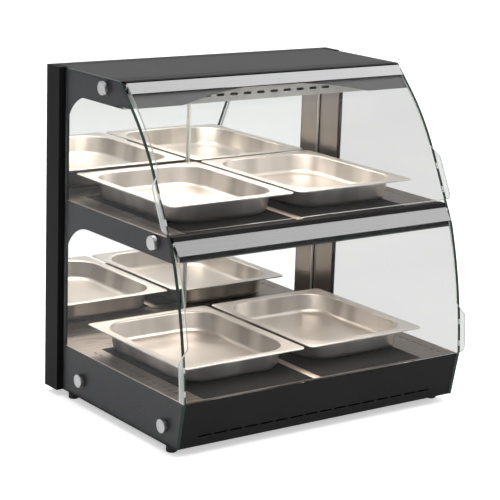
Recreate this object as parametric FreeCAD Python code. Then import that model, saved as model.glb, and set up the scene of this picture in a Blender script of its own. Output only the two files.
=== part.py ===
import FreeCAD, Part

import math
import os

# Hot food display case: two heated decks behind bowed glass, each with a lift-up front flap and a
# pair of mirrored sliding doors at the rear.
# Millimetres. While modelling, x = 0 is the middle, y = 0 the front face of the rear posts (y grows to
# the rear) and z = 0 the underside of the base. save() moves every piece to the part's own origin: the
# centre of the overall box, on the surface that the feet stand on.

V = FreeCAD.Vector

# ---- driving dimensions -------------------------------------------------------------------------
CASE_WIDTH = 625.0          # over the two side glasses
CASE_HEIGHT = 605.0         # underside of the base to the top panel
FOOT_HEIGHT = 16.0
POST_DEPTH = 45.0
SHEET = 1.5                 # folded sheet steel
THIN = 1.0                  # liners and ceiling panels

SIDE_GLASS = 6.0
FRONT_GLASS = 4.0
DOOR_GLASS = 4.0
FLAP_GAP = 1.5              # closed front glass in front of the side glasses' front edge
SIDE_CLEARANCE = 0.3        # side glass to the metal inside it
FIT = 0.5                   # easy fit between parts that are laid or slid together
SEAT = 0.3                  # small gap under parts that rest loosely
RUNNING = 0.05              # radial clearance of a pin in its bore

DECK_TOP = 85.5             # lower deck
SHELF_TOP = 362.0           # upper deck
SHELF_DEPTH = 41.0          # deck surface to the underside of the shelf
SHELF_FRONT = -341.0
DECK_REAR = 27.5            # rear edge of decks, shelf and ceiling

# Front edge of the side glass, from the kink beside the shelf: a bend down to the base's knee, and a
# straight, a bend and a straight up to the top panel. A heading is the lean forward of a line that
# runs down, in degrees from upright.
KINK_FORWARD = 30.0         # kink in front of the upper deck's front edge
KINK_BELOW = 35.0           # and below the upper deck
LOWER_HEADING = 17.6
LOWER_RADIUS = 914.0
UPPER_FOOT_HEADING = 26.4
UPPER_FOOT = 139.8          # straight above the kink
UPPER_RADIUS = 448.0
TOP_HEADING = 44.0
TOP_EDGE_DROP = 0.5         # slope starts this far below the top panel
TOE_SETBACK = 16.8          # foot of the base's front behind its knee
FASCIA_INSET = 1.0          # fascia behind the side glasses' front edge
DECK_SETBACK = 7.4          # lower deck's front edge behind the knee
GLASS_REAR = -11.0          # rear edge of the side glasses

POST_WIDTH = 18.0
POST_OVERHANG = 7.5         # posts outside the side glasses
POST_DROP = 4.0             # posts reach this far below the base
NECK_STEP = 12.0            # recessed neck in front of each post, in from the post's side
POST_WALL = 2.0
LINER_FRONT = -29.0
SEAL_DEPTH = 5.0
SEAL_WIDTH = 3.5

FRONT_SIDE_GAP = 4.9        # front glass to side glass
EAR_OVERHANG = 8.5          # lifting ears outside the side glasses
EAR_RADIUS = 10.0
EAR_SLOPE_RISE = 22.0
UPPER_GLASS_LIFT = 8.0      # bottom edge of the upper front glass above the upper deck
UPPER_EAR_TOP = 82.0
LOWER_GLASS_LIFT = 2.5
LOWER_EAR_TOP = 74.5
BUMPER_PLACES = (17.0, 58.0)
BUMPER_LENGTH = 10.0

PROFILE_SIDE_GAP = 3.2      # flap profile to side glass
PROFILE_WALL = 1.4
PROFILE_DROP = 9.0          # upper profile starts this far down the slope
PROFILE_LENGTH = 22.6
WEB_LENGTH = 9.0            # solid head of the upper profile, above its glass slot
HEAD_BACK = 11.4            # top front corner of the lower profile, behind the kink
HEAD_RISE = 29.8            # and above it
HEAD_HEADING = 38.9
HEAD_LENGTH = 28.0
HEAD_THICKNESS = 8.2
HEAD_GRIP = 12.0            # lower front glass reaches this far above the kink
BOND_DROP = 3.0             # flange bonded behind the lower glass reaches this far below the kink
HINGE_DOWN = 4.0            # hinge pin from the profile's top front corner, along its face
HINGE_BACK = 4.5            # and square to it
PIN_RADIUS = 2.0
PIN_LENGTH = 15.0
EYE_WALL = 2.4
BRACKET_GAP = 0.4           # hinge bracket inside the metal line
BRACKET_SHEET = 2.0
SEAT_MARGIN = 0.45          # profile corner to the concave seat around it
NOSE_RISE = 2.0             # shelf nosing above the upper deck
NOSE_DEPTH = 15.0
NOSE_LOW = 21.8             # its lower edge below the upper deck

CAP_RADIUS = 12.5
CAP_HEIGHT = 7.5
CAP_WASHER = 0.5
CAP_CHAMFER = 0.8
SCREW_RADIUS = 3.0
SCREW_HEAD = 3.2
BUSH_RADIUS = 5.0
TOP_FIXING = (45.2, 17.4)   # behind the top panel's front edge, below its top
SHELF_FIXING = (27.5, 14.6) # behind the shelf's front edge, below its top
REAR_FIXING = (65.0, 35.2)  # in front of the glass's rear edge, above its bottom
TOE_FIXING = (39.0, 33.8)   # behind the toe, above the bottom

PLATE_LEFT_MARGIN = 44.2    # left hot plate in from the metal line
PLATE_RIGHT_MARGIN = 80.2   # right hot plate in from the metal line
PLATE_DEPTH = 336.0
PLATE_STEP = 7.0            # a hot plate's hidden rim under the deck sheet
PLATE_RIM = 4.0
PLATE_CORNER = 3.0
PLATE_FRONT_MARGIN = 4.0
DIVIDER_WIDTH = 16.0        # deck strip between the two hot plates
MAT = 2.0
BASE_BOARD = 30.0           # insulation under the lower deck
SHELF_BOARD = 7.5           # and inside the shelf
VENT_LENGTH = 12.0
VENT_WIDTH = 2.2
VENT_PITCH = 18.0
VENT_EDGE = 24.0            # border vents in from the deck's edges

PAN_WIDTH = 265.0
PAN_DEPTH = 325.0
PAN_HEIGHT = 40.0
PAN_SHEET = 0.8
PAN_RIM = 17.5
PAN_RIM_CORNER = 10.0
PAN_BODY_CORNER = 55.0
PAN_TAPER = 5.0
PAN_FLOOR_RADIUS = 9.0
PAN_GAP = 10.4              # between the two pans of a tier
LOWER_PAN_SETBACK = 55.0    # pan rim behind the deck's front edge
UPPER_PAN_SETBACK = 40.5

CANOPY_DEPTH = 48.0         # top panel to the ceiling's underside
LIP_FORWARD = 6.5           # ceiling's front lip in front of the top panel's edge
RAIL_BELOW = 22.0           # front rail's underside below the top panel
RAIL_FRONT = 5.0
RAIL_DEPTH = 15.0
RAIL_LIP = 8.0
LIP_SLOTS = 10
LIP_SLOT_PITCH = 29.7
LIP_SLOT_LENGTH = 12.4
LIP_SLOT_WIDTH = 4.6
LIP_SLOT_RISE = 12.5        # above the ceiling

BASE_SLOTS = 16
BASE_SLOT_LEFT = 37.2       # ends of the slot row in from the metal line
BASE_SLOT_RIGHT = 54.0
BASE_SLOT_GAP = 5.95
BASE_SLOT_WIDTH = 3.0
BASE_SLOT_RISE = 18.5

TRACK_WALL = 1.6
TRACK_RIB = 2.0
TRACK_SLOT = 5.0
TRACK_FLOOR = 2.0
TRACK_BOTTOM = 8.0
TRACK_TOP = 12.0
TRACK_HANG = 4.0            # lower tier's top track below the shelf
DOOR_SIDE_GAP = 3.0
DOOR_OVERLAP = 25.0
DOOR_GRIP_TOP = 3.5         # closed door inside its top track
PULL_INSET = 8.0
PULL_WIDTH = 12.0
PULL_HEIGHT = 90.0
PULL_THICKNESS = 2.2

LAMP_RADIUS = 8.0
LAMP_LENGTH = 420.0
LAMP_CLEARANCE = 7.0        # tube above the ceiling panel that carries it
SOCKET_LENGTH = 16.0
SOCKET_RADIUS = 10.0
LENS_DEPTH = 32.0
LENS_LAP = 4.0
LENS_THICKNESS = 3.0
CANOPY_LAMP_BACK = 41.0     # behind the top panel's front edge
SHELF_LAMP_BACK = 51.0      # behind the shelf's front edge

FOOT_RADIUS = 10.0
FOOT_CHAMFER = 1.5
FOOT_INSET = 10.2           # in from the metal line
FOOT_FRONT = 38.5           # front feet behind the toe
FOOT_REAR = 12.0             # rear feet in front of the glass's rear edge

PANEL_Y = 18.0              # rear control panel, set in from the posts' rear face
KNOB_X = (130.0, 200.0)
CONTROL_Z = 44.0
KNOB_RADIUS = 17.0
KNOB_HEIGHT = 18.0
KNOB_SKIRT = 5.0
SPINDLE_RADIUS = 3.0
SPINDLE_LENGTH = 15.0
THERMOSTAT = (32.0, 24.0)   # face and depth
SWITCH_X = (-60.0, -20.0)
SWITCH_WIDTH = 15.0
SWITCH_HEIGHT = 21.0
SWITCH_WALL = 1.5
SWITCH_FRAME = 2.0
ROCKER_TILT = 8.0
PILOT_X = (40.0, 70.0)
PILOT_RADIUS = 5.0
GLAND_X = -240.0
GLAND_Z = 30.0
GLAND_RADIUS = 11.0
GLAND_BORE = 4.5
PANEL_SCREW_RADIUS = 3.5
PANEL_SCREW_Z = 12.0
PANEL_SCREW_EDGE = 13.7

# ---- helpers ------------------------------------------------------------------------------------
def box(x, y, z):
    """Block between the limits given as (low, high) pairs."""
    return Part.makeBox(x[1] - x[0], y[1] - y[0], z[1] - z[0], V(x[0], y[0], z[0]))


def rod(radius, start, end):
    """Round bar between two points."""
    return Part.makeCylinder(radius, (end - start).Length, start, end - start)


def both_sides(shape):
    """The shape and its mirror image across x = 0, as a list."""
    return [shape, shape.mirror(V(0, 0, 0), V(1, 0, 0))]


def rounded_wire(corners):
    """Closed wire through (point, radius) corners; a radius of 0 keeps a corner sharp."""
    count = len(corners)
    cuts = []
    for i, (point, radius) in enumerate(corners):
        if radius == 0:
            cuts.append((point, None, point))
            continue
        before = (corners[i - 1][0] - point).normalize()
        after = (corners[(i + 1) % count][0] - point).normalize()
        half = before.getAngle(after) / 2
        reach = radius / math.tan(half)
        bisector = (before + after).normalize()
        middle = point + bisector * (radius / math.sin(half) - radius)
        cuts.append((point + before * reach, middle, point + after * reach))
    edges = []
    for i, (start, middle, end) in enumerate(cuts):
        if middle is not None:
            edges.append(Part.Arc(start, middle, end).toShape())
        following = cuts[(i + 1) % count][0]
        if end.distanceToPoint(following) > 1e-6:
            edges.append(Part.makeLine(end, following))
    return Part.Wire(edges)


def prism(wire, direction):
    """Solid swept by a closed flat wire."""
    return Part.Face(wire).extrude(direction)


def section_bar(corners, half_width):
    """Bar along x with a polygon section of (y, z) corners, optionally (y, z, radius)."""
    points = [(V(-half_width, c[0], c[1]), c[2] if len(c) > 2 else 0) for c in corners]
    return prism(rounded_wire(points), V(2 * half_width, 0, 0))


def rounded_slab(x, y, z, radius):
    """Flat block with its four upright corners rounded."""
    points = [V(x[0], y[0], z[0]), V(x[1], y[0], z[0]), V(x[1], y[1], z[0]), V(x[0], y[1], z[0])]
    return prism(rounded_wire([(p, radius) for p in points]), V(0, 0, z[1] - z[0]))


def along(start, heading, down, out=0.0):
    """Point (y, z) reached from start: down the slope, then square out of it."""
    angle = math.radians(heading)
    y = start[0] - down * math.sin(angle) - out * math.cos(angle)
    z = start[1] - down * math.cos(angle) + out * math.sin(angle)
    return (y, z)


# ---- sizes that follow --------------------------------------------------------------------------
GLASS_OUT = CASE_WIDTH / 2
GLASS_IN = GLASS_OUT - SIDE_GLASS
INNER = GLASS_IN - SIDE_CLEARANCE            # outer face of the metal inside the side glass
FLANGE_IN = INNER - SHEET
POST_OUT = GLASS_OUT + POST_OVERHANG
POST_IN = POST_OUT - POST_WIDTH
BETWEEN_POSTS = POST_IN - SIDE_CLEARANCE
FRONT_HALF_WIDTH = GLASS_IN - FRONT_SIDE_GAP
EAR_HALF_WIDTH = GLASS_OUT + EAR_OVERHANG
PROFILE_HALF_WIDTH = GLASS_IN - PROFILE_SIDE_GAP
DOOR_HALF_SPAN = POST_IN - DOOR_SIDE_GAP
BRACKET_OUT = INNER - BRACKET_GAP
BRACKET_IN = BRACKET_OUT - BRACKET_SHEET
SHELF_BOTTOM = SHELF_TOP - SHELF_DEPTH
CEILING_Z = CASE_HEIGHT - CANOPY_DEPTH
TRACK_WIDTH = 2 * TRACK_WALL + 2 * TRACK_SLOT + TRACK_RIB
TRACK_FRONT = DECK_REAR + FIT
FRONT_TRACK_Y = TRACK_FRONT + TRACK_WALL + (TRACK_SLOT - DOOR_GLASS) / 2
REAR_TRACK_Y = FRONT_TRACK_Y + TRACK_SLOT + TRACK_RIB

KINK = (SHELF_FRONT - KINK_FORWARD, SHELF_TOP - KINK_BELOW)
LOWER_CENTRE = along(KINK, LOWER_HEADING, 0, -LOWER_RADIUS)
KNEE_HEADING = math.degrees(math.asin((DECK_TOP - LOWER_CENTRE[1]) / LOWER_RADIUS))
KNEE = along(LOWER_CENTRE, KNEE_HEADING, 0, LOWER_RADIUS)
TOE = (KNEE[0] + TOE_SETBACK, 0.0)
DECK_FRONT = KNEE[0] + DECK_SETBACK
UPPER_FOOT_TOP = along(KINK, UPPER_FOOT_HEADING, -UPPER_FOOT)
UPPER_CENTRE = along(UPPER_FOOT_TOP, UPPER_FOOT_HEADING, 0, -UPPER_RADIUS)
BEND_TOP = along(UPPER_CENTRE, TOP_HEADING, 0, UPPER_RADIUS)
TOP_STRAIGHT = (CASE_HEIGHT - TOP_EDGE_DROP - BEND_TOP[1]) / math.cos(math.radians(TOP_HEADING))
BROW = along(BEND_TOP, TOP_HEADING, -TOP_STRAIGHT)     # front edge of the top panel
HEAD_TOP = (KINK[0] + HEAD_BACK, KINK[1] + HEAD_RISE)  # top front corner of the lower profile
HEAD_GLASS_TOP = KINK[1] + HEAD_GRIP
UPPER_GLASS_BOTTOM = SHELF_TOP + UPPER_GLASS_LIFT
LOWER_GLASS_BOTTOM = DECK_TOP + LOWER_GLASS_LIFT
LIP_Y = BROW[0] - LIP_FORWARD
LIP_TOP = CASE_HEIGHT - RAIL_BELOW
FIXINGS = ((BROW[0] + TOP_FIXING[0], CASE_HEIGHT - TOP_FIXING[1]),
           (SHELF_FRONT + SHELF_FIXING[0], SHELF_TOP - SHELF_FIXING[1]),
           (GLASS_REAR - REAR_FIXING[0], REAR_FIXING[1]),
           (TOE[0] + TOE_FIXING[0], TOE_FIXING[1]))
CANOPY_LAMP = (BROW[0] + CANOPY_LAMP_BACK, CEILING_Z + THIN + LAMP_CLEARANCE + LAMP_RADIUS)
SHELF_LAMP = (SHELF_FRONT + SHELF_LAMP_BACK, SHELF_BOTTOM + SHEET + LAMP_CLEARANCE - 1 + LAMP_RADIUS)
FOOT_X = INNER - FOOT_INSET
FOOT_Y = (TOE[0] + FOOT_FRONT, GLASS_REAR - FOOT_REAR)


def upper_line(offset, skip=0.0, extra=0.0, x=0.0):
    """Edges of the upper front curve, moved out by offset: straight, bend, straight."""
    radius = UPPER_RADIUS + offset
    first = along(BROW, TOP_HEADING, skip, offset)
    bend = along(UPPER_CENTRE, TOP_HEADING, 0, radius)
    middle = along(UPPER_CENTRE, (TOP_HEADING + UPPER_FOOT_HEADING) / 2, 0, radius)
    end = along(UPPER_CENTRE, UPPER_FOOT_HEADING, 0, radius)
    last = along(end, UPPER_FOOT_HEADING, extra)
    points = [V(x, *p) for p in (first, bend, middle, end, last)]
    edges = [Part.makeLine(points[0], points[1]), Part.Arc(*points[1:4]).toShape()]
    if extra:
        edges.append(Part.makeLine(points[3], points[4]))
    return edges


def lower_line(offset, lead=0.0, extra=0.0, x=0.0):
    """Edges of the lower front curve, moved out by offset: straight lead-in, bend, straight."""
    radius = LOWER_RADIUS + offset
    first = along(KINK, LOWER_HEADING, -lead, offset)
    bend = along(KINK, LOWER_HEADING, 0, offset)
    middle = along(LOWER_CENTRE, (LOWER_HEADING + KNEE_HEADING) / 2, 0, radius)
    end = along(LOWER_CENTRE, KNEE_HEADING, 0, radius)
    last = along(end, KNEE_HEADING, extra)
    points = [V(x, *p) for p in (first, bend, middle, end, last)]
    edges = [Part.Arc(*points[1:4]).toShape()]
    if lead:
        edges.insert(0, Part.makeLine(points[0], points[1]))
    if extra:
        edges.append(Part.makeLine(points[3], points[4]))
    return edges


def bent_strip(line, inner, outer, half_width, **limits):
    """Curved sheet along x between two offsets of one of the front curves."""
    inside = line(inner, x=-half_width, **limits)
    outside = line(outer, x=-half_width, **limits)
    top = Part.makeLine(inside[0].Vertexes[0].Point, outside[0].Vertexes[0].Point)
    bottom = Part.makeLine(inside[-1].Vertexes[-1].Point, outside[-1].Vertexes[-1].Point)
    wire = Part.Wire(Part.__sortEdges__(inside + outside + [top, bottom]))
    return prism(wire, V(2 * half_width, 0, 0))


def save(name, *shapes):
    """Write one node: every solid moved from the modelling frame to the part's origin."""
    front = along(KNEE, KNEE_HEADING, -LOWER_GLASS_LIFT, FLAP_GAP + FRONT_GLASS)[0]
    shift = V(0, -(front + POST_DEPTH) / 2, FOOT_HEIGHT)
    solids = []
    for shape in shapes:
        solids += shape.Solids
    moved = [s.translated(shift) for s in solids]
    body = moved[0] if len(moved) == 1 else Part.makeCompound(moved)
    body.exportStep("parts/" + name + ".step")


# ---- side glasses and their fixings ---------------------------------------------------------------
def side_glass():
    """Right side glass: straight top and rear, bowed front edge, slanted toe, fixing holes."""
    outline = upper_line(0, extra=UPPER_FOOT) + lower_line(0)
    ring = (KNEE, TOE, (GLASS_REAR, 0), (GLASS_REAR, CASE_HEIGHT), (BROW[0], CASE_HEIGHT), BROW)
    outline += [Part.makeLine(V(0, *a), V(0, *b)) for a, b in zip(ring, ring[1:])]
    glass = prism(Part.Wire(Part.__sortEdges__(outline)), V(SIDE_GLASS, 0, 0))
    glass.translate(V(GLASS_IN, 0, 0))
    for y, z in FIXINGS:
        glass = glass.cut(rod(BUSH_RADIUS, V(GLASS_IN - 1, y, z), V(GLASS_OUT + 1, y, z)))
    return glass


def fixing_cap(y, z):
    """Turned cap outside the side glass, with a blind hole for its screw."""
    inner = GLASS_OUT + CAP_WASHER
    cap = rod(CAP_RADIUS, V(inner, y, z), V(inner + CAP_HEIGHT, y, z))
    cap = cap.makeChamfer(CAP_CHAMFER, [e for e in cap.Edges if e.BoundBox.XMin > inner + CAP_HEIGHT / 2
                                and e.BoundBox.XLength < 1])
    return cap.cut(rod(SCREW_RADIUS, V(inner - 1, y, z), V(inner + CAP_HEIGHT - 2, y, z)))


def fixing_bush(y, z):
    """Nylon bush in the glass hole, with its washer under the cap."""
    bush = rod(BUSH_RADIUS - RUNNING, V(INNER, y, z), V(GLASS_OUT, y, z))
    washer = rod(CAP_RADIUS - 1, V(GLASS_OUT, y, z), V(GLASS_OUT + CAP_WASHER, y, z))
    bore = rod(SCREW_RADIUS + RUNNING, V(INNER - 1, y, z), V(GLASS_OUT + 1, y, z))
    return bush.fuse(washer).cut(bore).removeSplitter()


def fixing_screw(y, z):
    """Screw from inside the metal flange out into the cap."""
    head = rod(SCREW_RADIUS * 1.6, V(FLANGE_IN - SCREW_HEAD, y, z), V(FLANGE_IN, y, z))
    shank = rod(SCREW_RADIUS, V(FLANGE_IN - 1, y, z), V(GLASS_OUT + CAP_WASHER + CAP_HEIGHT - 3, y, z))
    return head.fuse(shank).removeSplitter()


def drill_fixings(shape):
    """Holes for the side glass screws through whatever flange lies there."""
    for y, z in FIXINGS:
        for side in (-1, 1):
            start = V(side * (INNER - 2 * SHEET), y, z)
            shape = shape.cut(rod(SCREW_RADIUS + RUNNING, start, V(side * (INNER + 1), y, z)))
    return shape


# ---- rear frame -------------------------------------------------------------------------------------
def rear_post():
    """Right rear post: a hollow upright with a recessed neck in front of it."""
    post = box((POST_IN, POST_OUT), (0, POST_DEPTH), (-POST_DROP, CASE_HEIGHT))
    neck = box((POST_IN, POST_OUT - NECK_STEP), (GLASS_REAR + FIT, 1), (0, CASE_HEIGHT - SHEET))
    hollow = box((POST_IN + POST_WALL, POST_OUT - POST_WALL), (POST_WALL, POST_DEPTH - POST_WALL),
                 (-POST_DROP - 1, CASE_HEIGHT - POST_WALL))
    return post.fuse(neck).removeSplitter().cut(hollow)


def post_liner(z):
    """Stainless cover over one tier's wiring on the right post, with a return to the side glass."""
    strip = box((POST_IN - THIN, POST_IN), (LINER_FRONT, DECK_REAR), z)
    flange = box((POST_IN - THIN, GLASS_IN - FIT), (LINER_FRONT, LINER_FRONT + THIN), z)
    return strip.fuse(flange).removeSplitter()


def post_seal(z):
    """Black strip along the liner's front edge, against the side glass."""
    return box((GLASS_IN - SEAL_WIDTH, GLASS_IN), (LINER_FRONT - SEAL_DEPTH, LINER_FRONT), z)


def top_rear_rail():
    """Hollow rail between the posts under the top panel."""
    outer = box((-BETWEEN_POSTS, BETWEEN_POSTS), (DECK_REAR, POST_DEPTH - THIN),
                (CEILING_Z + TRACK_TOP, CASE_HEIGHT - SHEET))
    inner = box((-POST_OUT, POST_OUT), (DECK_REAR + SHEET, POST_DEPTH - THIN - SHEET),
                (CEILING_Z + TRACK_TOP + SHEET, CASE_HEIGHT - 2 * SHEET))
    return outer.cut(inner)


def shelf_rear_rail():
    """Hollow rail behind the shelf, between the two tiers' door tracks."""
    low = SHELF_BOTTOM - TRACK_HANG + TRACK_TOP
    high = SHELF_TOP - TRACK_BOTTOM
    outer = box((-BETWEEN_POSTS, BETWEEN_POSTS), (TRACK_FRONT, POST_DEPTH - THIN), (low, high))
    inner = box((-POST_OUT, POST_OUT), (TRACK_FRONT + SHEET, POST_DEPTH - THIN - SHEET),
                (low + SHEET, high - SHEET))
    return outer.cut(inner)


def door_track(z_floor, height):
    """Double channel; the height is negative for a track that opens downwards."""
    y = (TRACK_FRONT, TRACK_FRONT + TRACK_WIDTH)
    low, high = sorted((z_floor, z_floor + height))
    track = box((-BETWEEN_POSTS, BETWEEN_POSTS), y, (low, high))
    step = math.copysign(TRACK_FLOOR, height)
    groove_low, groove_high = sorted((z_floor + step, z_floor + height + step))
    for start in (y[0] + TRACK_WALL, y[0] + TRACK_WALL + TRACK_SLOT + TRACK_RIB):
        track = track.cut(box((-POST_OUT, POST_OUT), (start, start + TRACK_SLOT), (groove_low, groove_high)))
    return track


# ---- sliding doors ----------------------------------------------------------------------------------
def tier_heights():
    """Bottom and top of the opening that each pair of doors closes, lower tier first."""
    return {"lower": (DECK_TOP, SHELF_BOTTOM - TRACK_HANG), "upper": (SHELF_TOP, CEILING_Z)}


def door_panel(x, y_front, opening):
    """Mirrored glass leaf standing in its tracks."""
    low = opening[0] - TRACK_BOTTOM + TRACK_FLOOR + SEAT
    return box(x, (y_front, y_front + DOOR_GLASS), (low, opening[1] + DOOR_GRIP_TOP))


def door_pull(x_edge, inward, y_front, opening):
    """Slim grip bonded to the rear of a leaf near its outer edge."""
    near = x_edge + inward * PULL_INSET
    x = sorted((near, near + inward * PULL_WIDTH))
    middle = (opening[0] + opening[1]) / 2
    z = (middle - PULL_HEIGHT / 2, middle + PULL_HEIGHT / 2)
    y = (y_front + DOOR_GLASS, y_front + DOOR_GLASS + PULL_THICKNESS)
    grip = box(x, y, z)
    groove = box((x[0] + 3, x[1] - 3), (y[1] - 1, y[1] + 1), (z[0] + 4, z[1] - 4))
    return grip.cut(groove)


# ---- base -------------------------------------------------------------------------------------------
def base_heading():
    """Slope of the base's front, as a heading that leans backwards."""
    return math.degrees(math.atan2(KNEE[0] - TOE[0], KNEE[1] - TOE[1]))


def base_pan():
    """Folded tray under the lower deck: floor, two sides, and a ledge for the rear track."""
    front = TOE[0] + FASCIA_INSET + 2 * SHEET
    pan = box((-INNER, INNER), (front, PANEL_Y), (0, SHEET))
    for side in both_sides(box((FLANGE_IN, INNER), (front, GLASS_REAR - FIT), (0, DECK_TOP - SHEET))):
        pan = pan.fuse(side)
    notch = box((BETWEEN_POSTS, INNER + 1), (GLASS_REAR, PANEL_Y + 1), (-1, SHEET + 1))
    for side in both_sides(notch):
        pan = pan.cut(side)
    ledge = box((-BETWEEN_POSTS, BETWEEN_POSTS), (PANEL_Y, POST_DEPTH - THIN), (0, SHEET))
    return drill_fixings(pan.fuse(ledge).removeSplitter())


def front_fascia():
    """Slanted front of the base with a row of air slots and a narrow top fold."""
    top = (KNEE[0] + FASCIA_INSET, DECK_TOP)
    toe = (TOE[0] + FASCIA_INSET, TOE[1])
    slant = SHEET / math.cos(math.radians(base_heading()))
    fascia = section_bar(((top[0], top[1], 1.2), toe, (toe[0] + slant, toe[1]),
                          (top[0] + slant, top[1] - SHEET), (DECK_FRONT - SEAT, top[1] - SHEET),
                          (DECK_FRONT - SEAT, top[1])), INNER)
    pitch = (2 * INNER - BASE_SLOT_LEFT - BASE_SLOT_RIGHT + BASE_SLOT_GAP) / BASE_SLOTS
    for i in range(BASE_SLOTS):
        x = -INNER + BASE_SLOT_LEFT + i * pitch
        slot = box((x, x + pitch - BASE_SLOT_GAP), (KNEE[0], TOE[0] + 2 * SHEET),
                   (BASE_SLOT_RISE - BASE_SLOT_WIDTH / 2, BASE_SLOT_RISE + BASE_SLOT_WIDTH / 2))
        fascia = fascia.cut(slot)
    return fascia


def rear_control_panel():
    """Plate across the base's rear with holes for the controls."""
    panel = box((-BETWEEN_POSTS, BETWEEN_POSTS), (PANEL_Y, PANEL_Y + SHEET),
                (SHEET, DECK_TOP - TRACK_BOTTOM - SHEET))
    for x in KNOB_X:
        panel = panel.cut(rod(SPINDLE_RADIUS + 2, V(x, PANEL_Y - 1, CONTROL_Z), V(x, PANEL_Y + 3, CONTROL_Z)))
    for x in PILOT_X:
        panel = panel.cut(rod(PILOT_RADIUS, V(x, PANEL_Y - 1, CONTROL_Z), V(x, PANEL_Y + 3, CONTROL_Z)))
    for x in SWITCH_X:
        panel = panel.cut(box((x - SWITCH_WIDTH / 2, x + SWITCH_WIDTH / 2), (PANEL_Y - 1, PANEL_Y + 3),
                              (CONTROL_Z - SWITCH_HEIGHT / 2, CONTROL_Z + SWITCH_HEIGHT / 2)))
    gland = rod(GLAND_RADIUS - 2, V(GLAND_X, PANEL_Y - 1, GLAND_Z), V(GLAND_X, PANEL_Y + 3, GLAND_Z))
    top_fold = box((-BETWEEN_POSTS, BETWEEN_POSTS), (PANEL_Y, POST_DEPTH - THIN),
                   (DECK_TOP - TRACK_BOTTOM - SHEET, DECK_TOP - TRACK_BOTTOM))
    return panel.cut(gland).fuse(top_fold).removeSplitter()


def feet():
    """Four rubber feet under the base, each with a chamfered lower edge."""
    made = []
    for x in (-FOOT_X, FOOT_X):
        for y in FOOT_Y:
            foot = rod(FOOT_RADIUS, V(x, y, -FOOT_HEIGHT), V(x, y, 0))
            low_edges = [e for e in foot.Edges if e.BoundBox.ZMax < -FOOT_HEIGHT + 1]
            made.append(foot.makeChamfer(FOOT_CHAMFER, low_edges))
    return made


# ---- decks, hot plates and heaters -----------------------------------------------------------------
def plate_spans():
    """Left and right x limits of the two hot plates beside the divider strip."""
    first = -INNER + PLATE_LEFT_MARGIN
    width = (2 * INNER - PLATE_LEFT_MARGIN - PLATE_RIGHT_MARGIN - DIVIDER_WIDTH) / 2
    second = first + width + DIVIDER_WIDTH
    return ((first, first + width), (second, second + width))


def deck_sheet(front, top):
    """Stainless deck with two openings for the hot plates and rows of border vents."""
    z = (top - SHEET, top)
    deck = box((-INNER, INNER), (front, GLASS_REAR - FIT), z)
    deck = deck.fuse(box((-BETWEEN_POSTS, BETWEEN_POSTS), (GLASS_REAR - 1, DECK_REAR), z)).removeSplitter()
    y = (front + PLATE_FRONT_MARGIN, front + PLATE_FRONT_MARGIN + PLATE_DEPTH)
    for span in plate_spans():
        deck = deck.cut(rounded_slab(span, y, (z[0] - 1, z[1] + 1), PLATE_CORNER))
    vents = []
    count = int(PLATE_DEPTH / VENT_PITCH)
    for i in range(count):
        start = y[0] + (i + 0.5) * VENT_PITCH
        for x in (-INNER + VENT_EDGE, INNER - VENT_EDGE):
            vents.append(box((x - VENT_WIDTH / 2, x + VENT_WIDTH / 2), (start, start + VENT_LENGTH),
                             (z[0] - 1, z[1] + 1)))
    rear = y[1] + VENT_EDGE
    for i in range(int(2 * (INNER - 3 * VENT_EDGE) / VENT_PITCH)):
        start = -INNER + 3 * VENT_EDGE + i * VENT_PITCH
        vents.append(box((start, start + VENT_LENGTH), (rear, rear + VENT_WIDTH), (z[0] - 1, z[1] + 1)))
    return deck.cut(Part.makeCompound(vents))


def hot_plate(span, front, top):
    """Dark heated plate flush with the deck, with a hidden rim clamped under the sheet."""
    x = (span[0] + SEAT, span[1] - SEAT)
    y = (front + PLATE_FRONT_MARGIN + SEAT, front + PLATE_FRONT_MARGIN + PLATE_DEPTH - SEAT)
    face = rounded_slab(x, y, (top - SHEET - 1, top), PLATE_CORNER - SEAT)
    rim = box((x[0] - PLATE_STEP, x[1] + PLATE_STEP), (y[0] - PLATE_FRONT_MARGIN + SEAT, y[1] + PLATE_STEP),
              (top - SHEET - PLATE_RIM, top - SHEET))
    return face.fuse(rim).removeSplitter()


def heater_mat(span, front, top):
    """Flat heating mat bonded under a hot plate."""
    z = top - SHEET - PLATE_RIM
    return box((span[0] + 10, span[1] - 10), (front + 20, front + PLATE_DEPTH - 16), (z - MAT, z))


def insulation(front, top, thickness):
    """Insulating board under both heating mats."""
    high = top - SHEET - PLATE_RIM - MAT
    spans = plate_spans()
    return box((spans[0][0], spans[1][1]), (front + 14, front + PLATE_DEPTH), (high - thickness, high))


# ---- shelf ------------------------------------------------------------------------------------------
def lamp_window(y_middle, z):
    """Opening for a lamp lens in a ceiling panel."""
    half = LAMP_LENGTH / 2
    return box((-half, half), (y_middle - LENS_DEPTH / 2, y_middle + LENS_DEPTH / 2), z)


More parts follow.
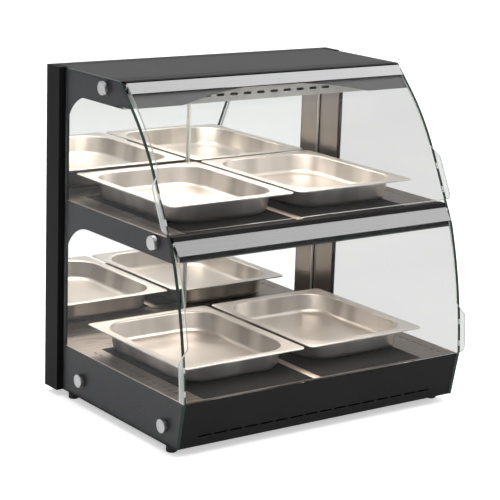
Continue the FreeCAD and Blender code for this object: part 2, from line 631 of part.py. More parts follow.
def shelf_tray():
    """Folded tray that carries the upper deck; its floor is the lower tier's ceiling."""
    front = SHELF_FRONT - 4
    floor = box((-INNER, INNER), (front, GLASS_REAR - FIT), (SHELF_BOTTOM, SHELF_BOTTOM + SHEET))
    rear_floor = box((-BETWEEN_POSTS, BETWEEN_POSTS), (GLASS_REAR - 1, DECK_REAR),
                     (SHELF_BOTTOM, SHELF_BOTTOM + SHEET))
    tray = floor.fuse(rear_floor)
    z = (SHELF_BOTTOM, SHELF_TOP - SHEET)
    for side in both_sides(box((FLANGE_IN, INNER), (SHELF_FRONT, GLASS_REAR - FIT), z)):
        tray = tray.fuse(side)
    tray = tray.fuse(box((-BETWEEN_POSTS, BETWEEN_POSTS), (DECK_REAR - SHEET, DECK_REAR), z))
    tray = tray.fuse(box((-INNER, INNER), (front, front + SHEET), (SHELF_BOTTOM, SHELF_BOTTOM + 19)))
    tray = tray.removeSplitter().cut(lamp_window(SHELF_LAMP[0], (SHELF_BOTTOM - 1, SHELF_BOTTOM + 3)))
    return drill_fixings(tray)


def shelf_front_trim():
    """Black nosing of the shelf, hollowed round the lower flap's hinge."""
    pin = lower_pin_place()
    lip = (HEAD_TOP[0] - 1.4, HEAD_TOP[1] + 1.4)
    front = SHELF_FRONT - NOSE_DEPTH
    rear = SHELF_FRONT - SEAT
    low = SHELF_TOP - NOSE_LOW
    corners = ((rear, SHELF_TOP + NOSE_RISE), (front, SHELF_TOP + NOSE_RISE, 1.0), lip,
               (front + 4, low + 5), (front + 4, low), (rear, low))
    bar = section_bar(corners, BRACKET_IN)
    reach = math.hypot(HINGE_DOWN, HINGE_BACK) + SEAT_MARGIN
    return bar.cut(rod(reach, V(-GLASS_OUT, *pin), V(GLASS_OUT, *pin)))


def lamp_lens(y_middle, z_low):
    """Frosted lens lying over the lamp window of a ceiling panel."""
    half = LAMP_LENGTH / 2 + LENS_LAP
    deep = LENS_DEPTH / 2 + LENS_LAP
    return box((-half, half), (y_middle - deep, y_middle + deep),
               (z_low, z_low + LENS_THICKNESS))


def lamp_tube(place):
    """Glass lamp tube along x."""
    half = LAMP_LENGTH / 2
    return rod(LAMP_RADIUS, V(-half, *place), V(half, *place))


def lamp_sockets(place, floor):
    """End sockets of a lamp, each on a foot that stands on the ceiling panel."""
    made = []
    half = LAMP_LENGTH / 2
    for side in (-1, 1):
        x = sorted((side * half, side * (half + SOCKET_LENGTH)))
        cup = rod(SOCKET_RADIUS, V(x[0], *place), V(x[1], *place))
        inset = sorted((side * (half + 5), side * (half + SOCKET_LENGTH)))
        stand = box(inset, (place[0] - SOCKET_RADIUS, place[0] + SOCKET_RADIUS), (floor, place[1]))
        made.append(cup.fuse(stand).removeSplitter())
    return made


# ---- canopy -----------------------------------------------------------------------------------------
def top_panel():
    """Flat top with folded sides inside the side glasses, notched round the rear posts."""
    z = (CASE_HEIGHT - SHEET, CASE_HEIGHT)
    sheet = box((-INNER, INNER), (BROW[0], GLASS_REAR - FIT), z)
    sheet = sheet.fuse(box((-BETWEEN_POSTS, BETWEEN_POSTS), (GLASS_REAR - 1, POST_DEPTH), z))
    fold = box((FLANGE_IN, INNER), (BROW[0] + LIP_FORWARD, GLASS_REAR - FIT),
               (CEILING_Z + THIN, CASE_HEIGHT - 1))
    for side in both_sides(fold):
        sheet = sheet.fuse(side)
    return drill_fixings(sheet.removeSplitter())


def canopy_ceiling():
    """Ceiling of the upper tier with a slotted front lip and a lamp window."""
    z = (CEILING_Z, CEILING_Z + THIN)
    half = FLANGE_IN - FIT
    ceiling = box((-half, half), (LIP_Y, GLASS_REAR - 12), z)
    ceiling = ceiling.fuse(box((-POST_IN + 2, POST_IN - 2), (GLASS_REAR - 13, DECK_REAR - FIT), z))
    lip = box((-half, half), (LIP_Y, LIP_Y + THIN), (CEILING_Z, LIP_TOP))
    top_fold = box((-half, half), (LIP_Y, LIP_Y + 12), (LIP_TOP - THIN, LIP_TOP))
    rear_fold = box((-POST_IN + 2, POST_IN - 2), (DECK_REAR - FIT - THIN, DECK_REAR - FIT),
                    (CEILING_Z, CEILING_Z + 20))
    ceiling = ceiling.fuse(lip).fuse(top_fold).fuse(rear_fold).removeSplitter()
    first = -(LIP_SLOTS - 1) / 2 * LIP_SLOT_PITCH
    slot_z = CEILING_Z + LIP_SLOT_RISE
    for i in range(LIP_SLOTS):
        x = first + i * LIP_SLOT_PITCH
        slot = rod(LIP_SLOT_WIDTH / 2, V(x - LIP_SLOT_LENGTH / 2, LIP_Y - 1, slot_z),
                   V(x - LIP_SLOT_LENGTH / 2, LIP_Y + 3, slot_z))
        other = slot.translated(V(LIP_SLOT_LENGTH, 0, 0))
        middle = box((x - LIP_SLOT_LENGTH / 2, x + LIP_SLOT_LENGTH / 2), (LIP_Y - 1, LIP_Y + 3),
                     (slot_z - LIP_SLOT_WIDTH / 2, slot_z + LIP_SLOT_WIDTH / 2))
        ceiling = ceiling.cut(slot.fuse(other).fuse(middle))
    return ceiling.cut(lamp_window(CANOPY_LAMP[0], (CEILING_Z - 1, CEILING_Z + 3)))


def canopy_front_rail():
    """Black rail under the top panel's front edge, hollowed round the upper flap's hinge."""
    pin = upper_pin_place()
    half = BRACKET_IN
    block = box((-half, half), (BROW[0] - RAIL_FRONT, BROW[0] - RAIL_FRONT + RAIL_DEPTH),
                (LIP_TOP, CASE_HEIGHT - SHEET))
    lip = box((-half, half), (BROW[0] - RAIL_LIP, BROW[0] - 0.1), (CASE_HEIGHT - 3.2, CASE_HEIGHT - 0.5))
    reach = math.hypot(HINGE_DOWN, HINGE_BACK) + SEAT_MARGIN
    return block.fuse(lip).removeSplitter().cut(rod(reach, V(-GLASS_OUT, *pin), V(GLASS_OUT, *pin)))


# ---- front flaps ------------------------------------------------------------------------------------
def upper_pin_place():
    """Hinge axis (y, z) of the upper flap."""
    face = FLAP_GAP + FRONT_GLASS + RUNNING + PROFILE_WALL
    return along(BROW, TOP_HEADING, PROFILE_DROP + HINGE_DOWN, face - HINGE_BACK)


def lower_pin_place():
    """Hinge axis (y, z) of the lower flap."""
    return along(HEAD_TOP, HEAD_HEADING, HINGE_DOWN, -HINGE_BACK)


def pin_bore(place):
    """Bore along the whole hinge line."""
    return rod(PIN_RADIUS + RUNNING, V(-GLASS_OUT, *place), V(GLASS_OUT, *place))


def upper_flap_profile():
    """Aluminium top rail of the upper flap: solid head over a slot for the glass."""
    outer = FLAP_GAP + FRONT_GLASS + RUNNING + PROFILE_WALL
    inner = FLAP_GAP - RUNNING - PROFILE_WALL
    slot = (FLAP_GAP - RUNNING, FLAP_GAP + FRONT_GLASS + RUNNING)
    end = PROFILE_DROP + PROFILE_LENGTH

    def block(down, out):
        corners = [along(BROW, TOP_HEADING, d, o)
                   for d, o in ((down[0], out[0]), (down[0], out[1]), (down[1], out[1]), (down[1], out[0]))]
        return section_bar(corners, PROFILE_HALF_WIDTH)

    body = block((PROFILE_DROP, end), (inner, outer))
    body = body.cut(block((PROFILE_DROP + WEB_LENGTH, end + 1), slot))
    return body.cut(pin_bore(upper_pin_place()))


def lower_flap_profile():
    """Aluminium top rail of the lower flap: slanted head with a flange behind the glass."""
    corners = [along(HEAD_TOP, HEAD_HEADING, d, o)
               for d, o in ((0, 0), (HEAD_LENGTH, 0), (HEAD_LENGTH, -HEAD_THICKNESS), (0, -HEAD_THICKNESS))]
    head = section_bar(corners, PROFILE_HALF_WIDTH)
    back = FLAP_GAP - RUNNING
    flange = bent_strip(lower_line, back - PROFILE_WALL, back, PROFILE_HALF_WIDTH, lead=HEAD_GRIP + BOND_DROP)
    bond = (KINK[1] - BOND_DROP, HEAD_GLASS_TOP + 2)
    flange = flange.common(box((-POST_OUT, POST_OUT), (-CASE_WIDTH, 0), bond))
    slot = bent_strip(lower_line, back, FLAP_GAP + FRONT_GLASS + RUNNING, POST_OUT, lead=HEAD_RISE)
    slot = slot.common(box((-POST_OUT, POST_OUT), (-POST_OUT * 2, 0), (0, HEAD_GLASS_TOP + RUNNING)))
    return head.fuse(flange).removeSplitter().cut(slot).cut(pin_bore(lower_pin_place()))


def flap_outline(top, bottom, ear_top):
    """Front view of a front glass: lifting ears at both lower corners."""
    half = [(FRONT_HALF_WIDTH, top, 0), (FRONT_HALF_WIDTH, ear_top + EAR_SLOPE_RISE, 6.0),
            (EAR_HALF_WIDTH, ear_top, 5.0), (EAR_HALF_WIDTH, bottom, EAR_RADIUS)]
    corners = half + [(-x, z, r) for x, z, r in reversed(half)]
    depth = CASE_WIDTH
    wire = rounded_wire([(V(x, -depth, z), r) for x, z, r in corners])
    return prism(wire, V(0, depth, 0))


def upper_front_glass():
    """Bowed glass of the upper flap."""
    strip = bent_strip(upper_line, FLAP_GAP, FLAP_GAP + FRONT_GLASS, EAR_HALF_WIDTH + 1,
                       skip=PROFILE_DROP + WEB_LENGTH + FIT, extra=UPPER_FOOT)
    return strip.common(flap_outline(CASE_HEIGHT, UPPER_GLASS_BOTTOM, SHELF_TOP + UPPER_EAR_TOP))


def lower_front_glass():
    """Bowed glass of the lower flap."""
    strip = bent_strip(lower_line, FLAP_GAP, FLAP_GAP + FRONT_GLASS, EAR_HALF_WIDTH + 1, lead=HEAD_RISE)
    return strip.common(flap_outline(HEAD_GLASS_TOP, LOWER_GLASS_BOTTOM, DECK_TOP + LOWER_EAR_TOP))


def flap_bumpers(line, bottom, **limits):
    """Clear pads on the ears that close against the side glass edges."""
    strip = bent_strip(line, SEAT, FLAP_GAP - RUNNING, GLASS_OUT - 1, **limits)
    made = []
    for rise in BUMPER_PLACES:
        z = (bottom + rise - BUMPER_LENGTH / 2, bottom + rise + BUMPER_LENGTH / 2)
        cut = box((GLASS_IN + 1, GLASS_OUT - 1), (-CASE_WIDTH, 0), z)
        made += both_sides(strip.common(cut))
    return made


def hinge_bracket(place, anchor_y, anchor_z):
    """Right hinge plate: an eye round the pin and a tab on the rail's end."""
    x = (BRACKET_IN, BRACKET_OUT)
    eye = rod(PIN_RADIUS + EYE_WALL, V(x[0], *place), V(x[1], *place))
    tab = box(x, anchor_y, anchor_z)
    plate = eye.fuse(tab)
    return plate.removeSplitter().cut(rod(PIN_RADIUS, V(x[0] - 1, *place), V(x[1] + 1, *place)))


def hinge_pin(place):
    """Right hinge pin, pressed in its bracket and free in the flap's profile."""
    return rod(PIN_RADIUS, V(INNER - PIN_LENGTH, *place), V(BRACKET_OUT, *place))


# ---- food pans --------------------------------------------------------------------------------------
def pan_shell(inset, low, corner):
    """Tapered block with rounded corners; inset is from the rim's inner line."""
    half_x = PAN_WIDTH / 2 - PAN_RIM - inset
    half_y = PAN_DEPTH / 2 - PAN_RIM - inset
    wires = []
    for z, taper in ((low, PAN_TAPER), (PAN_HEIGHT + 1, 0.0)):
        x = half_x - taper
        y = half_y - taper
        radius = corner - taper
        points = [V(-x, -y, z), V(x, -y, z), V(x, y, z), V(-x, y, z)]
        wires.append(rounded_wire([(p, radius) for p in points]))
    return Part.makeLoft(wires, True, True)


def food_pan(x, y, z):
    """Half-size gastronorm pan with a flat rim, standing on a deck."""
    outer = pan_shell(0.0, 0.0, PAN_BODY_CORNER)
    outer = outer.makeFillet(PAN_FLOOR_RADIUS, [e for e in outer.Edges if e.BoundBox.ZMax < 0.01])
    inner = pan_shell(PAN_SHEET, PAN_SHEET, PAN_BODY_CORNER - PAN_SHEET)
    floor_radius = PAN_FLOOR_RADIUS - PAN_SHEET
    inner = inner.makeFillet(floor_radius, [e for e in inner.Edges if e.BoundBox.ZMax < PAN_SHEET + 0.01])
    half_x = PAN_WIDTH / 2
    half_y = PAN_DEPTH / 2
    rim_z = (PAN_HEIGHT - PAN_SHEET, PAN_HEIGHT)
    rim = rounded_slab((-half_x, half_x), (-half_y, half_y), rim_z, PAN_RIM_CORNER)
    trimmed = outer.cut(box((-half_x, half_x), (-half_y, half_y), (PAN_HEIGHT, PAN_HEIGHT + 2)))
    pan = trimmed.fuse(rim).cut(inner).removeSplitter()
    pan.translate(V(x, y, z))
    return pan


# ---- rear controls ----------------------------------------------------------------------------------
def thermostat_body(x):
    """Thermostat behind the panel, bored for the knob's spindle."""
    half = THERMOSTAT[0] / 2
    body = box((x - half, x + half), (PANEL_Y - THERMOSTAT[1], PANEL_Y), (CONTROL_Z - half, CONTROL_Z + half))
    inner_end = V(x, PANEL_Y - SPINDLE_LENGTH - 1, CONTROL_Z)
    return body.cut(rod(SPINDLE_RADIUS + RUNNING, inner_end, V(x, PANEL_Y + 1, CONTROL_Z)))


def heat_knob(x):
    """Control knob with a raised grip bar and its spindle."""
    low = PANEL_Y + SHEET + SEAT
    skirt = rod(KNOB_RADIUS, V(x, low, CONTROL_Z), V(x, low + KNOB_SKIRT, CONTROL_Z))
    reach = KNOB_RADIUS - 2
    grip = box((x - 4, x + 4), (low, low + KNOB_HEIGHT), (CONTROL_Z - reach, CONTROL_Z + reach))
    crown = rod(KNOB_RADIUS - 5, V(x, low, CONTROL_Z), V(x, low + KNOB_HEIGHT - 4, CONTROL_Z))
    spindle = rod(SPINDLE_RADIUS, V(x, PANEL_Y - SPINDLE_LENGTH, CONTROL_Z), V(x, low + 1, CONTROL_Z))
    return skirt.fuse(grip).fuse(crown).fuse(spindle).removeSplitter()


def switch_housing(x):
    """Frame and body of a rocker switch, open at the rear face."""
    half_x = SWITCH_WIDTH / 2 - FIT / 2
    half_z = SWITCH_HEIGHT / 2 - FIT / 2
    body = box((x - half_x, x + half_x), (PANEL_Y - 18, PANEL_Y + SHEET),
               (CONTROL_Z - half_z, CONTROL_Z + half_z))
    lip = SWITCH_FRAME
    frame = box((x - half_x - lip, x + half_x + lip), (PANEL_Y + SHEET, PANEL_Y + SHEET + lip),
                (CONTROL_Z - half_z - lip, CONTROL_Z + half_z + lip))
    well = box((x - half_x + SWITCH_WALL, x + half_x - SWITCH_WALL), (PANEL_Y - 8, PANEL_Y + 10),
               (CONTROL_Z - half_z + SWITCH_WALL, CONTROL_Z + half_z - SWITCH_WALL))
    return body.fuse(frame).removeSplitter().cut(well)


def rocker(x):
    """Rocker tilted to its off side."""
    half_x = SWITCH_WIDTH / 2 - SWITCH_WALL - 2 * FIT
    half_z = SWITCH_HEIGHT / 2 - SWITCH_WALL - 4 * FIT
    back = PANEL_Y - 3
    face = PANEL_Y + 4.5
    corners = ((back, CONTROL_Z - 4), (back, CONTROL_Z + 4), (face, CONTROL_Z + half_z),
               (face - 1, CONTROL_Z), (face, CONTROL_Z - half_z))
    body = section_bar(corners, half_x)
    body.translate(V(x, 0, 0))
    body.rotate(V(x, PANEL_Y, CONTROL_Z), V(1, 0, 0), ROCKER_TILT)
    return body


def pilot_lamp(x):
    """Small round indicator in the control panel."""
    shank = rod(PILOT_RADIUS - RUNNING, V(x, PANEL_Y - 10, CONTROL_Z), V(x, PANEL_Y + SHEET, CONTROL_Z))
    cap = rod(PILOT_RADIUS + 1.5, V(x, PANEL_Y + SHEET, CONTROL_Z), V(x, PANEL_Y + SHEET + 3, CONTROL_Z))
    return shank.fuse(cap).removeSplitter()


def cable_gland():
    """Gland for the supply lead, low in the control panel."""
    y = PANEL_Y + SHEET
    hexagon = Part.makePolygon([V(GLAND_X + GLAND_RADIUS * math.cos(math.radians(60 * i)), y,
                                  GLAND_Z + GLAND_RADIUS * math.sin(math.radians(60 * i))) for i in range(7)])
    nut = prism(hexagon, V(0, 6, 0))
    dome = rod(GLAND_RADIUS - 2.5, V(GLAND_X, y + 5, GLAND_Z), V(GLAND_X, y + 13, GLAND_Z))
    thread = rod(GLAND_RADIUS - 2.2, V(GLAND_X, PANEL_Y - 8, GLAND_Z), V(GLAND_X, y + 1, GLAND_Z))
    bore = rod(GLAND_BORE, V(GLAND_X, PANEL_Y - 9, GLAND_Z), V(GLAND_X, y + 20, GLAND_Z))
    return nut.fuse(dome).fuse(thread).removeSplitter().cut(bore)


def panel_screws():
    """Screw heads along the control panel's edge."""
    made = []
    edge = BETWEEN_POSTS - PANEL_SCREW_EDGE
    for x in (-edge, -edge / 2, 0.0, edge / 2, edge):
        start = V(x, PANEL_Y + SHEET, PANEL_SCREW_Z)
        made.append(rod(PANEL_SCREW_RADIUS, start, start + V(0, 2, 0)))
    return made


# ---- build ------------------------------------------------------------------------------------------
def build_structure():
    """Everything that carries the case."""
    glass = both_sides(side_glass())
    save("side_glass_right", glass[0])
    save("side_glass_left", glass[1])
    posts = both_sides(rear_post())
    save("rear_post_right", posts[0])
    save("rear_post_left", posts[1])
    for name, piece in (("side_glass_caps", fixing_cap), ("side_glass_bushes", fixing_bush),
                        ("side_glass_screws", fixing_screw)):
        save(name, *[s for y, z in FIXINGS for s in both_sides(piece(y, z))])
    liners = []
    seals = []
    for low, high in tier_heights().values():
        span = (low + SEAT, high - SEAT)
        liners.append(post_liner(span))
        seals.append(post_seal(span))
    save("post_liners", *liners)
    save("post_seals", *seals)
    save("top_rear_rail", top_rear_rail())
    save("shelf_rear_rail", shelf_rear_rail())


def build_base():
    """Base, lower deck and feet."""
    save("base_pan", base_pan())
    save("front_fascia", front_fascia())
    save("lower_deck", deck_sheet(DECK_FRONT, DECK_TOP))
    save("lower_hot_plates", *[hot_plate(s, DECK_FRONT, DECK_TOP) for s in plate_spans()])
    save("feet", *feet())


def build_shelf():
    """Heated shelf between the two tiers."""
    save("shelf_tray", shelf_tray())
    save("upper_deck", deck_sheet(SHELF_FRONT, SHELF_TOP))
    save("upper_hot_plates", *[hot_plate(s, SHELF_FRONT, SHELF_TOP) for s in plate_spans()])
    save("shelf_front_trim", shelf_front_trim())


def build_heaters():
    """Heating mats and insulation under both decks."""
    decks = ((DECK_FRONT, DECK_TOP, BASE_BOARD), (SHELF_FRONT, SHELF_TOP, SHELF_BOARD))
    save("heater_mats", *[heater_mat(s, front, top) for front, top, _ in decks for s in plate_spans()])
    save("insulation_boards", *[insulation(front, top, board) for front, top, board in decks])


def build_canopy():
    """Top panel, its ceiling and both lamps."""
    save("top_panel", top_panel())
    save("canopy_ceiling", canopy_ceiling())
    save("canopy_front_rail", canopy_front_rail())
    canopy_floor = CEILING_Z + THIN
    shelf_floor = SHELF_BOTTOM + SHEET
    save("lamp_tubes", lamp_tube(CANOPY_LAMP), lamp_tube(SHELF_LAMP))
    save("lamp_sockets", *lamp_sockets(CANOPY_LAMP, canopy_floor), *lamp_sockets(SHELF_LAMP, shelf_floor))
    save("lamp_lenses", lamp_lens(CANOPY_LAMP[0], canopy_floor), lamp_lens(SHELF_LAMP[0], shelf_floor))


def build_flaps():
    """Two lift-up front flaps with their hinges."""
    save("upper_flap_profile", upper_flap_profile())
    save("upper_front_glass", upper_front_glass())
    save("upper_flap_bumpers", *flap_bumpers(upper_line, UPPER_GLASS_BOTTOM, extra=UPPER_FOOT))
    save("lower_flap_profile", lower_flap_profile())
    save("lower_front_glass", lower_front_glass())
    save("lower_flap_bumpers", *flap_bumpers(lower_line, LOWER_GLASS_BOTTOM))
    upper = upper_pin_place()
    lower = lower_pin_place()
    upper_plate = hinge_bracket(upper, (BROW[0] - 9, BROW[0] + RAIL_FRONT), (upper[1] - 7, upper[1] + 4))
    lower_plate = hinge_bracket(lower, (lower[0], SHELF_FRONT - SEAT), (lower[1] - 6, lower[1] + 3))
    save("hinge_brackets", *both_sides(upper_plate), *both_sides(lower_plate))
    save("hinge_pins", *both_sides(hinge_pin(upper)), *both_sides(hinge_pin(lower)))


def build_doors():
    """Tracks, four mirrored leaves and their pulls."""
    tracks = []
    leaf = (2 * DOOR_HALF_SPAN + DOOR_OVERLAP) / 2
    for tier, opening in tier_heights().items():
        tracks.append(door_track(opening[0] - TRACK_BOTTOM, TRACK_BOTTOM))
        tracks.append(door_track(opening[1] + TRACK_TOP, -TRACK_TOP))
        left_x = (-DOOR_HALF_SPAN, -DOOR_HALF_SPAN + leaf)
        right_x = (DOOR_HALF_SPAN - leaf, DOOR_HALF_SPAN)
        save(tier + "_left_door", door_panel(left_x, REAR_TRACK_Y, opening))
        save(tier + "_right_door", door_panel(right_x, FRONT_TRACK_Y, opening))
        save(tier + "_left_pull", door_pull(-DOOR_HALF_SPAN, 1, REAR_TRACK_Y, opening))
        save(tier + "_right_pull", door_pull(DOOR_HALF_SPAN, -1, FRONT_TRACK_Y, opening))
    save("door_tracks", *tracks)


def build_pans():
    """Four food pans, two on each deck."""
    pan_x = (PAN_WIDTH + PAN_GAP) / 2
    lower_y = DECK_FRONT + LOWER_PAN_SETBACK + PAN_DEPTH / 2
    upper_y = SHELF_FRONT + UPPER_PAN_SETBACK + PAN_DEPTH / 2
    for side, x in (("left", -pan_x), ("right", pan_x)):
        for tier, y in (("lower", lower_y), ("upper", upper_y)):
            save(tier + "_" + side + "_pan", food_pan(x, y, tier_heights()[tier][0]))


def build_controls():
    """Controls on the rear of the base."""
    save("rear_control_panel", rear_control_panel())
    save("thermostat_bodies", *[thermostat_body(x) for x in KNOB_X])
    save("lower_heat_knob", heat_knob(KNOB_X[0]))
    save("upper_heat_knob", heat_knob(KNOB_X[1]))
    save("switch_housings", *[switch_housing(x) for x in SWITCH_X])
    save("main_switch_rocker", rocker(SWITCH_X[0]))
    save("lamp_switch_rocker", rocker(SWITCH_X[1]))
    save("pilot_lamps", *[pilot_lamp(x) for x in PILOT_X])
    save("cable_gland", cable_gland())
    save("panel_screws", *panel_screws())


os.makedirs("parts", exist_ok=True)
build_structure()
build_base()
build_shelf()
build_heaters()
build_canopy()
build_flaps()
build_doors()
build_pans()
build_controls()
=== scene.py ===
import math
from functools import partial

import bmesh
import bpy
from bpy.props import FloatProperty, FloatVectorProperty, IntProperty, PointerProperty
from bpy.types import Operator, Panel, PropertyGroup
from mathutils import Matrix, Vector


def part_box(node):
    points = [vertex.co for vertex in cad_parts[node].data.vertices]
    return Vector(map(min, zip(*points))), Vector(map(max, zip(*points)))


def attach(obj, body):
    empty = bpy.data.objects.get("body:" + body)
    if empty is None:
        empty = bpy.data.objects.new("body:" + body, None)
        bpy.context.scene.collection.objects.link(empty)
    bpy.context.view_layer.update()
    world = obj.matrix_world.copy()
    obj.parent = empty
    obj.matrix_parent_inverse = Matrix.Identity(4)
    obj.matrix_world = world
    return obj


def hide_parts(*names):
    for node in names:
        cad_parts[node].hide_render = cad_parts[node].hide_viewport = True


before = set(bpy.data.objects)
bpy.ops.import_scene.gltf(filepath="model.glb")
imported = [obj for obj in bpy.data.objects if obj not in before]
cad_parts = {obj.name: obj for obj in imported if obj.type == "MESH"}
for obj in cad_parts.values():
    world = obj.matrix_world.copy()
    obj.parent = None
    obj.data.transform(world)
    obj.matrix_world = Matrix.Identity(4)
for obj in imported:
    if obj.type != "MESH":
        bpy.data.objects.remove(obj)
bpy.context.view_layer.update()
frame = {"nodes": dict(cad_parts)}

bl_info = {
    "name": "Hot Food Display Case",
    "version": (1, 0, 0),
    "blender": (4, 5, 0),
    "location": "View3D > Sidebar > Display Case",
    "description": "Finishes and fine detail for a two-tier heated display case with curved front glass",
    "category": "Object",
}

NODES = frame["nodes"]
TIERS = ("upper", "lower")
SIDES = ("left", "right")

MERGE = 1e-6     # vertices nearer than this become one
TOUCH = 1e-5     # a vertex this near a plane lies on it
ON_FACE = 1e-4   # a face or an edge this near a plane lies on it
FACING = 0.9     # least share of a normal along an axis for a face that looks that way
QUARTER_TURN = math.pi / 2
FULL_TURN = 2 * math.pi
TO_READ_FROM_REAR = Matrix.Rotation(math.pi, 4, "Z") @ Matrix.Rotation(QUARTER_TURN, 4, "X")


# ---- settings -----------------------------------------------------------------------------------
def length(name, text, default):
    """A size in metres that the user can change."""
    return FloatProperty(name=name, description=text, default=default, unit="LENGTH", precision=5)


def colour(name, text, default):
    """A surface colour that the user can change."""
    return FloatVectorProperty(name=name, description=text, default=default, subtype="COLOR", min=0, max=1)


def number(name, text, default, **more):
    """A number that the user can change, never under none."""
    return FloatProperty(name=name, description=text, default=default, min=0, **more)


def count(name, text, default, least):
    """A whole number that the user can change."""
    return IntProperty(name=name, description=text, default=default, min=least)


def place(name, text, default, **more):
    """A place or a direction that the user can change."""
    return FloatVectorProperty(name=name, description=text, default=default, **more)


class PrintSettings(PropertyGroup):
    """Dark print on the four glasses"""
    film: length("Film thickness", "Thickness of the baked-on print", 0.00015)
    air: length("Print gap", "Gap that keeps the print off the glass face", 0.00002)
    top_edge: length("Top band", "Top band's lower edge below the side glass's top", 0.0435)
    shelf_top: length("Shelf band top", "Shelf band's upper edge above the side glass's foot", 0.362)
    shelf_low: length("Shelf band foot", "Shelf band's lower edge above the side glass's foot", 0.321)
    base_top: length("Base band", "Base band's upper edge above the side glass's foot", 0.085)
    window_rear: length("Window rear", "Rear edge of the windows in front of the glass's rear edge", -0.003)
    window_corner: length("Window corner", "Corner radius at the windows' top rear", 0.079)
    upper_low: length("Brow foot", "Brow print's lower edge below the side glass's top", 0.042)
    brow_tuck: length("Brow tuck", "How far the brow print reaches up behind the profile", 0.004)
    end_gap: length("Print end", "Front prints' ends inside the profile's ends", 0.0016)
    arch_top: length("Arch top", "Top of the brow print's arch below the side glass's top", 0.020)
    arch_radius: length("Arch radius", "Radius of the brow print's arch", 0.973)
    lower_high: length("Strip top", "Strip print's upper edge above the side glass's foot", 0.335)
    lower_low: length("Strip foot", "Strip print's lower edge above the side glass's foot", 0.323)
    side_colour: colour("Side print", "Print on the side glasses", (0.060, 0.061, 0.066))
    brow_colour: colour("Brow print", "Print on the upper front glass", (0.142, 0.142, 0.142))
    strip_colour: colour("Strip print", "Print on the lower front glass", (0.035, 0.036, 0.037))


class GlassSettings(PropertyGroup):
    """The four glasses"""
    side: colour("Side glass", "Tint of the side glasses", (0.875, 0.880, 0.876))
    front: colour("Front glass", "Tint of the front glasses", (0.880, 0.885, 0.880))
    side_edge: colour("Side edge", "Ground edges of the side glasses", (0.030, 0.045, 0.041))
    front_edge: colour("Front edge", "Polished ends of the front glasses", (0.55, 0.60, 0.58))
    bend: FloatProperty(name="Bend", description="Light bending of the glass, low so that it stays clear",
                        default=1.14, min=1)


class PanSettings(PropertyGroup):
    """The food pans"""
    sheet: length("Sheet", "Steel thickness of a food pan", 0.0008)
    rim: length("Rim width", "Width of the flat rim", 0.0175)
    rim_corner: length("Rim corner", "Outer corner radius of the rim", 0.010)
    rim_round: length("Rim rounding", "Rounding of the rim's outer edge", 0.0009)
    well_corner: length("Well corner", "Corner radius of the well", 0.055)
    hem: length("Hem", "Turned-down edge of the rim", 0.0022)
    mouth_round: length("Mouth rounding", "Rounding from the rim into the wall", 0.0030)
    floor_round: length("Floor rounding", "Rounding from the wall into the floor", 0.0090)
    taper: length("Wall taper", "How far the wall leans in down to the floor", 0.0050)
    corner_steps: count("Corner steps", "Faces round a corner", 14, 4)
    tint: colour("Pan steel", "Colour of the pans' stainless steel", (0.76, 0.720, 0.685))


class MetalSettings(PropertyGroup):
    """Colours of the metals and their coats"""
    deck: colour("Deck steel", "Stainless steel of the decks and the shelf", (0.31, 0.262, 0.232))
    liner: colour("Liner steel", "Stainless steel of the wiring cover", (0.30, 0.275, 0.255))
    aluminium: colour("Aluminium", "Anodised aluminium of the upper flap profile", (0.44, 0.44, 0.445))
    # Painted shade: the same anodised aluminium as the upper profile, darkened for the lower flap profile in
    # place of the dark surroundings it reflects.
    shaded: colour("Shaded aluminium", "Anodised aluminium of the lower flap profile", (0.29, 0.29, 0.293))
    mirror: colour("Mirror", "Silvering of the sliding doors", (0.90, 0.91, 0.90))
    backing: colour("Mirror backing", "Paint behind the silvering and at its edges", (0.40, 0.42, 0.42))
    frame: colour("Frame coat", "Black powder coat of the frame", (0.0090, 0.0090, 0.0095))
    top: colour("Top coat", "Powder coat of the top panel", (0.0240, 0.0242, 0.0250))
    ceiling: colour("Ceiling coat", "Pale powder coat of the canopy ceiling", (0.56, 0.56, 0.53))
    plate: colour("Hot plate", "Dark heat-proof coat of the hot plates", (0.0185, 0.0178, 0.0170))


class CapSettings(PropertyGroup):
    """Round caps of the glass fixings"""
    chamfer: length("Cap chamfer", "Chamfer of a glass cap", 0.0008)
    washer: length("Washer", "Thickness of the black washer under a cap", 0.0005)
    washer_lap: length("Washer lap", "How far the washer stands inside the cap's edge", 0.0006)
    steps: count("Cap steps", "Faces round a cap", 64, 16)
    rings: count("Rings", "Turned rings on a cap's face", 7, 1)
    ring_width: number("Ring width", "Width of a ring as a share of the cap's radius", 0.12)


class TrimSettings(PropertyGroup):
    """Door trims and deck hems"""
    door_wall: length("Door trim", "Width of a mirror door's upright trim", 0.0045)
    door_lap: length("Door trim lap", "How far the trim stands in front of the mirror", 0.0005)
    door_air: length("Door trim gap", "Gap between a trim and its mirror", 0.0001)
    door_gap: length("Door gap", "Gap from the baffle between two doors to the door behind", 0.0005)
    door_end: length("Door trim end", "Trim's ends clear of the tracks", 0.010)
    hem: length("Deck hem", "Width of a deck's bright hem", 0.0012)
    hem_rise: length("Hem rise", "Height of the hem above the deck", 0.0006)
    hem_air: length("Hem gap", "Gap between a hem and its deck", 0.00005)
    hem_end: length("Hem end", "Hem's rear end in front of the side glass's rear edge", 0.001)
    divider: length("Divider", "How far the bright strip between two hot plates covers their edges", 0.0068)
    soft: length("Softened edge", "Rounding of a trim's edges", 0.0002)
    # Painted highlight: the hems' steel is the deck's steel made about three times brighter, for the deck's
    # folded edge catching light.
    hem_highlight_colour: colour("Hem steel", "Colour of the decks' bright hems", (0.86, 0.77, 0.70))
    # Painted light: the divider's steel is the deck's steel made 1.68 times brighter.
    strip_colour: colour("Divider steel", "Colour of the strip between two hot plates", (0.52, 0.44, 0.39))


